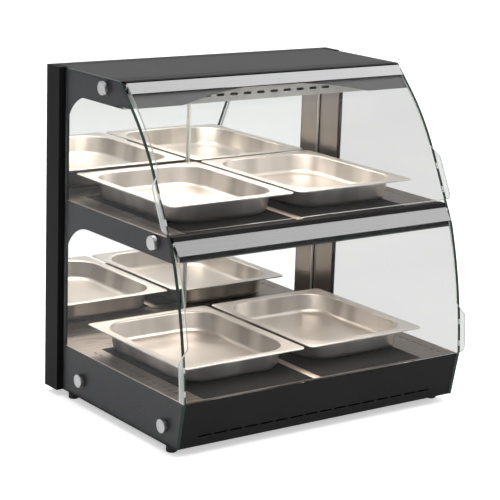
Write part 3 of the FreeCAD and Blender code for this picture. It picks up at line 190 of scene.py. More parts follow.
class ControlSettings(PropertyGroup):
    """Knobs, dials, switches and pilot lamps"""
    knob_height: length("Knob height", "How far a knob stands out from the panel", 0.018)
    flutes: count("Flutes", "Finger flutes round a knob", 12, 4)
    flute_depth: length("Flute depth", "Depth of a finger flute", 0.0011)
    dial_radius: length("Dial radius", "Radius of the ring of dial marks", 0.0195)
    tick: length("Tick", "Length of a dial mark", 0.0022)
    tick_width: length("Tick width", "Width of a dial mark", 0.0005)
    number: length("Number height", "Height of the dial numbers", 0.0050)
    number_gap: length("Number gap", "From the ring of dial marks out to the numbers", 0.0055)
    switch_mark: length("Switch mark", "Height of the marks on a switch", 0.0036)
    ink: length("Ink", "Thickness of printed marks", 0.00012)
    knob: colour("Knob", "Moulded knob and switch plastic", (0.020, 0.020, 0.021))
    mark: colour("Marks", "Printed marks", (0.80, 0.80, 0.78))
    pilot: colour("Pilot lens", "Lens of the pilot lamps", (0.85, 0.30, 0.04))


class StageSettings(PropertyGroup):
    """Floor, room, lamps and camera"""
    floor: length("Floor", "Half the floor's width", 14.0)
    floor_colour: colour("Floor colour", "Colour of the pale floor", (0.93, 0.93, 0.93))
    floor_through: colour("Floor through glass", "Floor colour seen through the glass", (0.22, 0.22, 0.22))
    floor_glow: number("Floor glow", "Glow that keeps the floor white", 0.5)
    through_glow: number("Glow through glass", "Floor glow seen through the glass", 0.70)
    floor_mirrored: number("Glow in metal", "Floor glow seen in satin metal or in gloss", 0.20)
    target: place("Target", "Point the camera looks at", (-0.02855, -0.01324, 0.29303), unit="LENGTH")
    camera: place("Camera", "Where the camera stands", (-1.9243, -2.62194, 1.0814), unit="LENGTH")
    roll: FloatProperty(name="Roll", description="Camera turned about its own view line", unit="ROTATION",
                        default=math.radians(1.99))
    lens: number("Lens", "Focal length on the sensor", 129.64, unit="CAMERA")
    sensor: number("Sensor", "Width of the sensor", 36.0, unit="CAMERA")
    white: number("White", "Brightness of the background that the camera sees", 1.2)
    room: number("Room", "Brightness of the room overhead", 0.95)
    horizon: number("Horizon", "Brightness of the room at floor level", 0.36)
    overhead: number("Overhead", "Power of the overhead softbox", 45.0, unit="POWER")
    overhead_size: length("Overhead size", "Width of the overhead softbox", 2.6)
    overhead_at: place("Overhead place", "Where the softbox hangs", (0.2, -0.2, 2.6), unit="LENGTH")
    overhead_to: place("Overhead target", "Point the softbox faces", (0, 0, 0.3), unit="LENGTH")
    card: number("Card", "Brightness of the soft glow on the right", 1.5)
    card_reach: number("Card reach", "How far the soft glow spreads", 0.75)
    card_side: place("Card side", "Where the soft glow stands", (0.85, -0.30, 0.50))
    lamp: number("Lamp", "Power of each of the case's own lamps", 0.25, unit="POWER")
    lamp_drop: length("Lamp drop", "How far a lamp's light starts below its lens", 0.002)
    wash: number("Wash", "Power that each pale ceiling throws back down", 1.2, unit="POWER")
    wash_reach: length("Wash reach", "How far the wash reaches in front of the lamps and behind them", 0.13)
    wash_drop: length("Wash drop", "How far the wash starts below the lenses", 0.004)
    lens_glow: number("Lens glow", "Glow of the lamp lenses", 3.0)
    lamp_colour: colour("Lamp colour", "Colour of the case's own lamps", (1.0, 0.92, 0.83))


GROUPS = {"glass": GlassSettings, "print": PrintSettings, "pans": PanSettings, "metals": MetalSettings,
          "caps": CapSettings, "trims": TrimSettings, "controls": ControlSettings, "stage": StageSettings}


def settings(group):
    """One group of settings, by its short name."""
    return getattr(bpy.context.scene, "display_case_" + group)


# ---- mesh helpers -------------------------------------------------------------------------------
def linked_object(bm, name):
    """A new object in the scene, holding a bmesh that is then freed."""
    mesh = bpy.data.meshes.new(name)
    bm.to_mesh(mesh)
    bm.free()
    made = bpy.data.objects.new(name, mesh)
    bpy.context.scene.collection.objects.link(made)
    return made


def piece(bm, name, material, body, stands_for=(), crease=35.0):
    """Store a closed mesh as a piece that rides on one of the frame's bodies."""
    bmesh.ops.remove_doubles(bm, verts=bm.verts, dist=MERGE)
    bmesh.ops.recalc_face_normals(bm, faces=bm.faces)
    for face in bm.faces:
        face.smooth = True
    for edge in bm.edges:
        edge.smooth = len(edge.link_faces) == 2 and edge.calc_face_angle(0) < math.radians(crease)
    made = linked_object(bm, name)
    made.data.materials.append(material)
    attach(made, body)
    if stands_for:
        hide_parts(*stands_for)
    return made


def cutter(bm, name):
    """A scratch object that only cuts."""
    bmesh.ops.recalc_face_normals(bm, faces=bm.faces)
    return linked_object(bm, name)


def cut_with(target, cutters):
    """Take the cutters' volume out of a piece."""
    for scratch in cutters:
        cut = target.modifiers.new("cut", "BOOLEAN")
        cut.operation = "DIFFERENCE"
        cut.solver = "EXACT"
        cut.object = scratch
    graph = bpy.context.evaluated_depsgraph_get()
    result = bpy.data.meshes.new_from_object(target.evaluated_get(graph))
    target.modifiers.clear()
    old = target.data
    name = old.name
    target.data = result
    bpy.data.meshes.remove(old)
    result.name = name
    for scratch in cutters:
        bpy.data.objects.remove(scratch)


def copy_of(node):
    """A merged bmesh copy of a CAD node."""
    bm = bmesh.new()
    bm.from_mesh(NODES[node].data)
    bmesh.ops.remove_doubles(bm, verts=bm.verts, dist=MERGE)
    return bm


def loose_boxes(node):
    """Lowest and highest corner of every separate solid in a CAD node."""
    bm = copy_of(node)
    left = set(bm.verts)
    boxes = []
    while left:
        heap = [left.pop()]
        part = []
        while heap:
            vert = heap.pop()
            part.append(vert.co.copy())
            for edge in vert.link_edges:
                other = edge.other_vert(vert)
                if other in left:
                    left.discard(other)
                    heap.append(other)
        boxes.append((Vector(map(min, zip(*part))), Vector(map(max, zip(*part)))))
    bm.free()
    return sorted(boxes, key=lambda box: tuple(round(value, 4) for value in box[0]))


def verts_in(geometry):
    """The vertices among what an operator made."""
    return [item for item in geometry if isinstance(item, bmesh.types.BMVert)]


def soften(bm, geometry, offset, segments, **more):
    """Round edges, or corners with affect="VERTICES"."""
    options = {"affect": "EDGES", **more}
    bmesh.ops.bevel(bm, geom=geometry, offset=offset, segments=segments, profile=0.5, material=-1, **options)


def keep_slab(bm, axis, low, high):
    """Cut a mesh down to what lies between two planes square to an axis."""
    normal = Vector((axis == 0, axis == 1, axis == 2))
    for level, outer in ((low, False), (high, True)):
        everything = bm.verts[:] + bm.edges[:] + bm.faces[:]
        bmesh.ops.bisect_plane(bm, geom=everything, dist=MERGE / 10, plane_co=normal * level, plane_no=normal,
                               clear_outer=outer, clear_inner=not outer)


def keep_faces(bm, wanted):
    """Delete every face that isn't wanted."""
    bmesh.ops.delete(bm, geom=[face for face in bm.faces if not wanted(face)], context="FACES")


def thicken(bm, step):
    """Extrude a sheet's faces by one step into a closed slab."""
    grown = bmesh.ops.extrude_face_region(bm, geom=bm.faces[:])
    bmesh.ops.translate(bm, vec=step, verts=verts_in(grown["geom"]))


def rounded_ring(bm, centre, size, radius, steps):
    """Edge loop of a flat rectangle with rounded corners."""
    matrix = Matrix.Translation(centre) @ Matrix.Diagonal((size[0], size[1], 1, 1))
    made = bmesh.ops.create_grid(bm, x_segments=1, y_segments=1, size=0.5, matrix=matrix)
    before = set(bm.faces)
    face = made["verts"][0].link_faces[0]
    soften(bm, made["verts"], radius, steps, affect="VERTICES", offset_type="OFFSET")
    if not face.is_valid:
        face = next(f for f in bm.faces if f not in before)
    edges = face.edges[:]
    bmesh.ops.delete(bm, geom=[face], context="FACES_ONLY")
    return edges


def block(bm, matrix, size):
    """A box of a size, centred and turned by a matrix."""
    made = bmesh.ops.create_cube(bm, size=1, matrix=matrix @ Matrix.Diagonal((*size, 1)))
    return list({edge for vert in made["verts"] for edge in vert.link_edges})


def bar(bm, low, high, edge):
    """A straight bar between two corners, with softened edges."""
    low, high = Vector(low), Vector(high)
    soften(bm, block(bm, Matrix.Translation((low + high) / 2), high - low), edge, segments=2)


def disc(bm, matrix, radius, depth, steps):
    """A round disc of a thickness, centred and turned by a matrix."""
    made = bmesh.ops.create_cone(bm, cap_ends=True, segments=steps, radius1=radius, radius2=radius,
                                 depth=depth, matrix=matrix)
    return made["verts"]


def lathe(bm, centre, outline, steps, closed=False):
    """Spin an outline of radii and heights about a line along Y through a point."""
    verts = [bm.verts.new(centre + Vector((radius, height, 0))) for radius, height in outline]
    pairs = list(zip(verts, verts[1:]))
    if closed:
        pairs.append((verts[-1], verts[0]))
    edges = [bm.edges.new(pair) for pair in pairs]
    bmesh.ops.spin(bm, geom=verts + edges, cent=centre, axis=(0, 1, 0), angle=FULL_TURN, steps=steps,
                   use_merge=True)


def letter(bm, text, height, matrix):
    """Add flat lettering, as a thin closed mesh."""
    curve = bpy.data.curves.new("lettering", "FONT")
    curve.body = text
    curve.size = height
    curve.extrude = settings("controls").ink / 2
    curve.align_x = "CENTER"
    curve.align_y = "CENTER"
    scratch = bpy.data.objects.new("lettering", curve)
    bpy.context.scene.collection.objects.link(scratch)
    graph = bpy.context.evaluated_depsgraph_get()
    mesh = bpy.data.meshes.new_from_object(scratch.evaluated_get(graph))
    mesh.transform(matrix)
    bm.from_mesh(mesh)
    bpy.data.objects.remove(scratch)
    bpy.data.curves.remove(curve)
    bpy.data.meshes.remove(mesh)


# ---- finishes -----------------------------------------------------------------------------------
class Wiring:
    """A node tree being wired up."""

    def __init__(self, owner):
        owner.use_nodes = True
        self.tree = owner.node_tree
        self.column = 0

    def feed(self, target, value):
        """Link a socket to another one, or set it to a number, a vector or a colour."""
        if isinstance(value, bpy.types.NodeSocket):
            self.tree.links.new(value, target)
        elif target.type == "RGBA":
            target.default_value = (*value, 1)
        else:
            target.default_value = value

    def add(self, kind, **values):
        """Add a node: options are set by attribute, sockets are fed by name."""
        node = self.tree.nodes.new(kind)
        self.column += 1
        node.location = (-260 * self.column, -120 * (self.column % 4))
        for key, value in values.items():
            if hasattr(node, key):
                setattr(node, key, value)
            else:
                self.feed(node.inputs[key.replace("_", " ")], value)
        return node

    def reckon(self, operation, *values, **options):
        """Arithmetic on sockets and numbers."""
        node = self.add("ShaderNodeMath", operation=operation, **options)
        for socket, value in zip(node.inputs, values):
            self.feed(socket, value)
        return node.outputs[0]

    def part(self, source, axis):
        """One part of a vector."""
        return self.add("ShaderNodeSeparateXYZ", Vector=source).outputs[axis]

    def facing(self, axis):
        """How far the surface looks along an axis, from -1 to 1."""
        return self.part(self.add("ShaderNodeNewGeometry").outputs["Normal"], axis)

    def place(self, scale=(1, 1, 1)):
        """Object coordinates, stretched."""
        where = self.add("ShaderNodeTexCoord").outputs["Object"]
        return self.add("ShaderNodeMapping", Vector=where, Scale=scale).outputs["Vector"]

    def noise(self, where, scale, detail=3.0, roughness=0.55):
        """Noise from 0 to 1."""
        node = self.add("ShaderNodeTexNoise", Vector=where, Scale=scale, Detail=detail, Roughness=roughness)
        return node.outputs["Fac"]

    def between(self, source, low, high, start=0.3, end=0.7, **options):
        """A value spread from low to high."""
        node = self.add("ShaderNodeMapRange", From_Min=start, From_Max=end, To_Min=low, To_Max=high,
                        Value=source, **options)
        return node.outputs["Result"]

    def shades(self, source, dark, light):
        """Two shades mixed by a value."""
        return self.add("ShaderNodeMix", data_type="RGBA", Factor=source, A=dark, B=light).outputs["Result"]

    def mottled(self, source, rgb, under, over):
        """A colour that wavers from a little darker to a little lighter."""
        return self.shades(self.between(source, 0, 1), tone(rgb, 1 - under), tone(rgb, 1 + over))

    def soft_reflection(self, path):
        """True for rays off a surface that is glossy but no mirror."""
        return self.reckon("SUBTRACT", path["Is Glossy Ray"], path["Is Singular Ray"], use_clamp=True)


class Finish(Wiring):
    """The node tree of one material."""

    def __init__(self, name):
        self.material = bpy.data.materials.new(name)
        super().__init__(self.material)
        self.shader = self.tree.nodes["Principled BSDF"]

    def surface(self, **values):
        """Feed the shader's sockets by name."""
        for key, value in values.items():
            self.feed(self.shader.inputs[key.replace("_", " ")], value)

    def bump(self, height, strength, distance):
        """Fine relief on the surface."""
        node = self.add("ShaderNodeBump", Strength=strength, Distance=distance, Height=height)
        self.surface(Normal=node.outputs["Normal"])


def tone(rgb, factor):
    """A lighter or darker shade of a colour."""
    return tuple(min(1.0, channel * factor) for channel in rgb)


def powder_coat(name, rgb, rough=0.46, peel=0.18, shine=0.06, painted_light_bands=()):
    """Textured powder coat: orange peel, faint mottling, and painted shade as darker bands across the case.
    """
    f = Finish(name)
    where = f.place()
    mottle = f.noise(where, scale=14.0, detail=2.0)
    grain = f.noise(where, scale=1500.0, detail=2.0, roughness=0.6)
    shade = f.mottled(mottle, rgb, under=0.07, over=0.07)
    # Painted shade: each band darkens the coat along Y towards a quarter of its colour, a dark border at a
    # panel's front and rear edges.
    for unshaded_y, fully_shaded_y in painted_light_bands:
        depth = f.between(f.part(where, "Y"), 0, 1, start=unshaded_y, end=fully_shaded_y)
        shade = f.shades(depth, shade, tone(rgb, 0.25))
    f.surface(Base_Color=shade, Roughness=f.between(grain, rough - 0.05, rough + 0.06),
              Specular_IOR_Level=shine)
    f.bump(grain, peel, distance=0.00025)
    return f.material


def edge_shade_bands(node, width):
    """Where a node's front and rear bands of painted shade begin and where they are fully dark."""
    low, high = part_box(node)
    dark = width * 0.9
    return ((low.y + width, low.y + dark), (high.y - width, high.y - dark))


def brushed(name, rgb, grain_scale, rough=(0.24, 0.36), depth=0.00004, wear=0.05, strength=0.25):
    """Metal brushed in one direction."""
    f = Finish(name)
    streak = f.noise(f.place(grain_scale), scale=1.0, detail=4.0, roughness=0.7)
    blotch = f.noise(f.place(), scale=9.0)
    dullness = f.reckon("ADD", f.between(streak, *rough), f.between(blotch, -0.03, 0.03))
    f.surface(Base_Color=f.mottled(streak, rgb, wear, wear), Roughness=dullness, Metallic=1.0)
    f.bump(streak, strength, distance=depth)
    return f.material


def plastic(name, rgb, rough=0.4, grain=900.0, peel=0.12, shine=0.5):
    """Moulded plastic or rubber with a fine spark-eroded grain."""
    f = Finish(name)
    where = f.place()
    speck = f.noise(where, scale=grain)
    cloud = f.noise(where, scale=30.0, detail=2.0)
    f.surface(Base_Color=f.mottled(cloud, rgb, under=0.08, over=0.08),
              Roughness=f.between(speck, rough - 0.06, rough + 0.08), Specular_IOR_Level=shine)
    f.bump(speck, peel, distance=0.00012)
    return f.material


def clear_glass(name, tint, edge_rgb, faces_along_x, bend, ears=0.0):
    """Clear toughened glass that lets lamps through, with ground edges and half-frosted ears."""
    face_turn = 0.6      # share of the normal along X where a face ends and an edge begins
    ear_clearness = 0.7
    ear_fade = 0.0005
    f = Finish(name)
    f.surface(Roughness=0.0, IOR=bend)
    sideways = f.reckon("ABSOLUTE", f.facing("X"))
    clear = f.reckon("GREATER_THAN" if faces_along_x else "LESS_THAN", sideways, face_turn)
    if ears:
        beyond = f.reckon("ABSOLUTE", f.part(f.place(), "X"))
        clear = f.reckon("MULTIPLY", clear, f.between(beyond, 1, ear_clearness, ears, ears + ear_fade))
    f.surface(Base_Color=f.shades(clear, edge_rgb, tint), Transmission_Weight=clear)
    path = f.add("ShaderNodeLightPath").outputs
    scattered = f.reckon("MAXIMUM", path["Is Diffuse Ray"], f.soft_reflection(path))
    lighting = f.reckon("MAXIMUM", path["Is Shadow Ray"], scattered)
    through = f.add("ShaderNodeBsdfTransparent", Color=[math.sqrt(channel) for channel in tint])
    mix = f.add("ShaderNodeMixShader", Fac=f.reckon("MULTIPLY", lighting, clear))
    f.feed(mix.inputs[1], f.shader.outputs[0])
    f.feed(mix.inputs[2], through.outputs[0])
    f.feed(f.tree.nodes["Material Output"].inputs["Surface"], mix.outputs[0])
    return f.material


def printed(name, rgb, rough=0.5, streaks=0.0):
    """Baked-on ceramic print, faintly uneven."""
    f = Finish(name)
    cloud = f.noise(f.place((3.0, 40.0, 40.0)), scale=1.0)
    speck = f.noise(f.place(), scale=2500.0, detail=2.0)
    waver = 0.05 + streaks
    f.surface(Base_Color=f.mottled(cloud, rgb, waver, waver),
              Roughness=f.between(speck, rough - 0.04, rough + 0.04), Specular_IOR_Level=0.02)
    f.bump(speck, strength=0.05, distance=0.00003)
    return f.material


def glowing(name, rgb, strength, downwards=False):
    """Frosted lamp glass with the lamp's own light, all round or only from its underside."""
    f = Finish(name)
    cloud = f.noise(f.place(), scale=220.0, detail=2.0)
    frost = f.shades(f.between(cloud, 0, 1), (0.86, 0.85, 0.82), (0.92, 0.91, 0.88))
    f.surface(Base_Color=frost, Roughness=0.45, Emission_Color=rgb, Emission_Strength=strength)
    if downwards:
        f.surface(Emission_Strength=f.between(f.facing("Z"), strength, 0, start=-0.9, end=-0.5))
    return f.material


def silvered(name, rgb, backing):
    """Mirror glass: silvered towards the front, grey backing paint behind and at the edges."""
    front_turn = -0.7    # least share of the normal along Y for the silvered face
    f = Finish(name)
    face = f.reckon("LESS_THAN", f.facing("Y"), front_turn)
    haze = f.noise(f.place(), scale=16.0)
    f.surface(Base_Color=f.shades(face, backing, f.mottled(haze, rgb, under=0.015, over=0)), Metallic=face,
              Roughness=f.between(face, 0.45, 0.02, start=0, end=1))
    return f.material


def turned(name, rgb):
    """Turned metal: rings about each piece's own axis, carried by its turn attribute."""
    f = Finish(name)
    ring = f.add("ShaderNodeAttribute", attribute_name="turn").outputs["Fac"]
    wave = f.add("ShaderNodeTexNoise", noise_dimensions="1D", W=ring, Scale=4200.0, Detail=3.0).outputs["Fac"]
    f.surface(Base_Color=f.mottled(wave, rgb, under=0.07, over=0.05), Roughness=f.between(wave, 0.32, 0.42),
              Metallic=1.0)
    f.bump(wave, strength=0.3, distance=0.00004)
    return f.material


def pan_steel(name, rgb):
    """Deep-drawn stainless steel: satin, a faint wiping haze, and painted reflections as soft upright darker
    bands on the walls.
    """
    f = Finish(name)
    draw = f.noise(f.place((4.0, 26.0, 10.0)), scale=1.0, detail=2.0, roughness=0.5)
    haze = f.noise(f.place(), scale=12.0)
    # Painted reflection: upright bands darken the walls to 0.55 of the steel's colour, in place of the
    # surroundings the walls reflect.
    painted_light_bands = f.noise(f.place((17.0, 17.0, 2.0)), scale=1.0, detail=1.0)
    wall = f.shades(f.between(painted_light_bands, 0, 1, start=0.38, end=0.62), tone(rgb, 0.55), rgb)
    level = f.between(f.reckon("ABSOLUTE", f.facing("Z")), 0, 1)
    f.surface(Base_Color=f.shades(level, wall, f.mottled(draw, rgb, under=0.03, over=0.03)),
              Roughness=f.between(haze, 0.35, 0.40), Metallic=0.82)
    return f.material


def clear_pad(name):
    """Milky clear silicone of the small bumpers."""
    f = Finish(name)
    cloud = f.noise(f.place(), scale=300.0, detail=2.0)
    f.surface(Base_Color=f.shades(f.between(cloud, 0, 1), (0.66, 0.68, 0.67), (0.74, 0.76, 0.75)),
              Roughness=0.25, IOR=1.41, Transmission_Weight=0.30)
    return f.material


def makers():
    """What makes each finish, by name."""
    groups = ("metals", "print", "glass", "controls", "stage", "trims")
    metals, ink, glass, controls, stage, trims = (settings(group) for group in groups)
    lengthwise = (5.0, 1400.0, 1400.0)
    even = (60.0, 60.0, 60.0)
    anodised = (0.26, 0.34)
    return {
        "frame coat": partial(powder_coat, rgb=metals.frame),
        # The top panel carries painted shade: darker bands along its front and rear edges.
        "top coat": partial(powder_coat, rgb=metals.top, rough=0.40, shine=0.22,
                            painted_light_bands=edge_shade_bands("top_panel", 0.034)),
        "ceiling coat": partial(powder_coat, rgb=metals.ceiling, rough=0.5, peel=0.1, shine=0.4),
        "hot plate": partial(powder_coat, rgb=metals.plate, rough=0.48, peel=0.01, shine=0.025),
        "side glass": partial(clear_glass, tint=glass.side, edge_rgb=glass.side_edge, faces_along_x=True,
                              bend=glass.bend),
        "front glass": partial(clear_glass, tint=glass.front, edge_rgb=glass.front_edge, faces_along_x=False,
                               bend=glass.bend, ears=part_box("side_glass_right")[1].x),
        "side print": partial(printed, rgb=ink.side_colour),
        "brow print": partial(printed, rgb=ink.brow_colour, rough=0.35, streaks=0.08),
        "strip print": partial(printed, rgb=ink.strip_colour),
        "deck steel": partial(brushed, rgb=metals.deck, grain_scale=(9.0, 900.0, 900.0)),
        "liner steel": partial(brushed, rgb=metals.liner, grain_scale=(420.0, 420.0, 4.0), rough=(0.30, 0.36),
                               depth=0.00002, wear=0.02, strength=0.1),
        "brushed aluminium": partial(brushed, rgb=metals.aluminium, grain_scale=lengthwise, rough=anodised),
        # Painted shade: the lower profile's aluminium is a darker copy of the upper profile's.
        "shaded aluminium": partial(brushed, rgb=metals.shaded, grain_scale=lengthwise, rough=anodised),
        "door aluminium": partial(brushed, rgb=metals.aluminium, grain_scale=(900.0, 900.0, 7.0)),
        "bright steel": partial(brushed, rgb=(0.62, 0.62, 0.61), grain_scale=(300.0, 300.0, 300.0),
                                rough=(0.2, 0.3)),
        "door trim": partial(brushed, rgb=(0.92, 0.92, 0.91), grain_scale=(40.0, 40.0, 40.0),
                             rough=(0.45, 0.52), depth=0.00001, wear=0.01, strength=0.02),
        # Painted light: the divider is a brightened copy of the deck steel.
        "divider steel": partial(brushed, rgb=trims.strip_colour, grain_scale=even, rough=(0.40, 0.48)),
        # Painted highlight on the deck hems.
        "hem steel": partial(brushed, rgb=trims.hem_highlight_colour, grain_scale=even, rough=(0.35, 0.42)),
        "turned aluminium": partial(turned, rgb=(0.50, 0.50, 0.505)),
        "pan steel": partial(pan_steel, rgb=settings("pans").tint),
        "mirror": partial(silvered, rgb=metals.mirror, backing=metals.backing),
        "rubber": partial(plastic, rgb=(0.012, 0.012, 0.012), rough=0.6, grain=1200.0, peel=0.25, shine=0.35),
        "nylon": partial(plastic, rgb=(0.016, 0.016, 0.017), rough=0.45),
        "silicone": partial(plastic, rgb=(0.55, 0.16, 0.08), rough=0.55, grain=500.0, peel=0.3),
        "fibre board": partial(plastic, rgb=(0.62, 0.58, 0.48), rough=0.9, grain=260.0, peel=0.8, shine=0.2),
        "lamp plastic": partial(plastic, rgb=(0.78, 0.77, 0.74)),
        "lamp glass": partial(plastic, rgb=(0.70, 0.70, 0.68), rough=0.15, grain=60.0, peel=0.02),
        "knob plastic": partial(plastic, rgb=controls.knob, rough=0.34),
        "printed marks": partial(plastic, rgb=controls.mark, rough=0.5, grain=1500.0, peel=0.05),
        "door baffle": partial(plastic, rgb=(0.56, 0.58, 0.58), rough=0.35, grain=400.0, peel=0.02),
        "lamp lens": partial(glowing, rgb=stage.lamp_colour, strength=stage.lens_glow, downwards=True),
        "pilot lens": partial(glowing, rgb=controls.pilot, strength=0.6),
        "clear pad": clear_pad,
    }


def finish(name):
    """A finish by name, made the first time it is asked for."""
    found = bpy.data.materials.get(name)
    if found and found.get("display_case"):
        return found
    made = makers()[name](name)
    made["display_case"] = True
    return made


# ---- pieces -------------------------------------------------------------------------------------
# What each CAD node is finished in.
NODE_FINISHES = {
    "frame coat": ("base_pan", "front_fascia", "rear_control_panel", "rear_post_left", "rear_post_right",
                   "top_rear_rail", "shelf_rear_rail", "shelf_front_trim", "canopy_front_rail"),
    "top coat": ("top_panel",),
    "ceiling coat": ("canopy_ceiling",),
    "side glass": ("side_glass_left", "side_glass_right"),
    "front glass": ("upper_front_glass", "lower_front_glass"),
    "deck steel": ("lower_deck", "upper_deck", "shelf_tray"),
    "liner steel": ("post_liners",),
    "brushed aluminium": ("upper_flap_profile", "door_tracks"),
    "shaded aluminium": ("lower_flap_profile",),
    "door aluminium": ("upper_left_pull", "upper_right_pull", "lower_left_pull", "lower_right_pull"),
    "bright steel": ("side_glass_screws", "hinge_pins", "hinge_brackets"),
    "hot plate": ("lower_hot_plates", "upper_hot_plates"),
    "mirror": ("upper_left_door", "upper_right_door", "lower_left_door", "lower_right_door"),
    "rubber": ("feet", "post_seals"),
    "nylon": ("cable_gland", "side_glass_bushes", "switch_housings"),
    "silicone": ("heater_mats",),
    "fibre board": ("insulation_boards",),
    "lamp plastic": ("lamp_sockets", "thermostat_bodies"),
    "lamp glass": ("lamp_tubes",),
    "lamp lens": ("lamp_lenses",),
    "knob plastic": ("main_switch_rocker", "lamp_switch_rocker"),
    "clear pad": ("upper_flap_bumpers", "lower_flap_bumpers"),
}


class FinishFrame(Operator):
    """Give every carried-over part of the case its finish"""
    bl_idname = "display_case.finish_frame"
    bl_label = "Frame finishes"

    def execute(self, context):
        for name, members in NODE_FINISHES.items():
            for node in members:
                for slot in NODES[node].material_slots:
                    slot.material = finish(name)
        return {"FINISHED"}


class PrintSideGlass(Operator):
    """Dark print behind both side glasses, with a rounded window for each tier"""
    bl_idname = "display_case.print_side_glass"
    bl_label = "Side glass print"

    def window(self, ink, low, high, rear, x):
        """Cutter for one window between two heights, rounded at its top rear corner."""
        overshoot = 0.05
        depth = 0.004
        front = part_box("side_glass_left")[0].y - overshoot
        matrix = Matrix.Translation((x, (front + rear) / 2, (low + high) / 2))
        matrix @= Matrix.Diagonal((1, rear - front, high - low, 1)) @ Matrix.Rotation(QUARTER_TURN, 4, "Y")
        bm = bmesh.new()
        bmesh.ops.create_grid(bm, x_segments=1, y_segments=1, size=0.5, matrix=matrix)
        corner = [v for v in bm.verts if v.co.y > rear - TOUCH and v.co.z > high - TOUCH]
        soften(bm, corner, ink.window_corner, segments=28, affect="VERTICES", offset_type="OFFSET")
        thicken(bm, (depth, 0, 0))
        bmesh.ops.translate(bm, vec=(-depth / 2, 0, 0), verts=bm.verts)
        return cutter(bm, "window_cutter")

    def execute(self, context):
        ink = settings("print")
        for side, sign in (("left", 1), ("right", -1)):
            node = "side_glass_" + side
            low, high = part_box(node)
            inner = high.x if sign > 0 else low.x
            bm = copy_of(node)
            keep_faces(bm, lambda f: f.normal.x * sign >= FACING
                       and abs(f.calc_center_median().x - inner) <= ON_FACE)
            bmesh.ops.translate(bm, vec=(sign * ink.air, 0, 0), verts=bm.verts)
            thicken(bm, (sign * ink.film, 0, 0))
            sheet = piece(bm, "side_print_" + side, finish("side print"), "case", crease=30)
            rear = high.y - ink.window_rear
            upper = (low.z + ink.shelf_top, high.z - ink.top_edge)
            lower = (low.z + ink.base_top, low.z + ink.shelf_low)
            cut_with(sheet, [self.window(ink, *heights, rear, inner) for heights in (upper, lower)])
        return {"FINISHED"}


class PrintFrontGlass(Operator):
    """Arched brow print and narrow strip behind the two front glasses"""
    bl_idname = "display_case.print_front_glass"
    bl_label = "Front glass print"

    def inner_skin(self, tier, low, high, ink):
        """Thin skin on the inner face of a front glass, between two heights."""
        inwards = 0.4
        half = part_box("upper_flap_profile")[1].x - ink.end_gap
        bm = copy_of(tier + "_front_glass")
        keep_faces(bm, lambda f: f.normal.y >= inwards)
        keep_slab(bm, 2, low, high)
        keep_slab(bm, 0, -half, half)
        bm.normal_update()
        for vert in bm.verts:
            vert.co += vert.normal * ink.air
        bmesh.ops.solidify(bm, geom=bm.faces[:], thickness=-ink.film)
        return bm

    def execute(self, context):
        ink = settings("print")
        low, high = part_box("side_glass_left")
        brow_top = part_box("upper_flap_profile")[0].z + ink.brow_tuck
        bm = self.inner_skin("upper", high.z - ink.upper_low, brow_top, ink)
        brow = piece(bm, "brow_print", finish("brow print"), "upper_flap")
        arch = bmesh.new()
        centre = Matrix.Translation((0, low.y, high.z - ink.arch_top - ink.arch_radius))
        disc(arch, centre @ Matrix.Rotation(QUARTER_TURN, 4, "X"), ink.arch_radius, depth=1.0, steps=720)
        cut_with(brow, [cutter(arch, "arch_cutter")])
        bm = self.inner_skin("lower", low.z + ink.lower_low, low.z + ink.lower_high, ink)
        piece(bm, "lower_strip_print", finish("strip print"), "lower_flap")
        return {"FINISHED"}


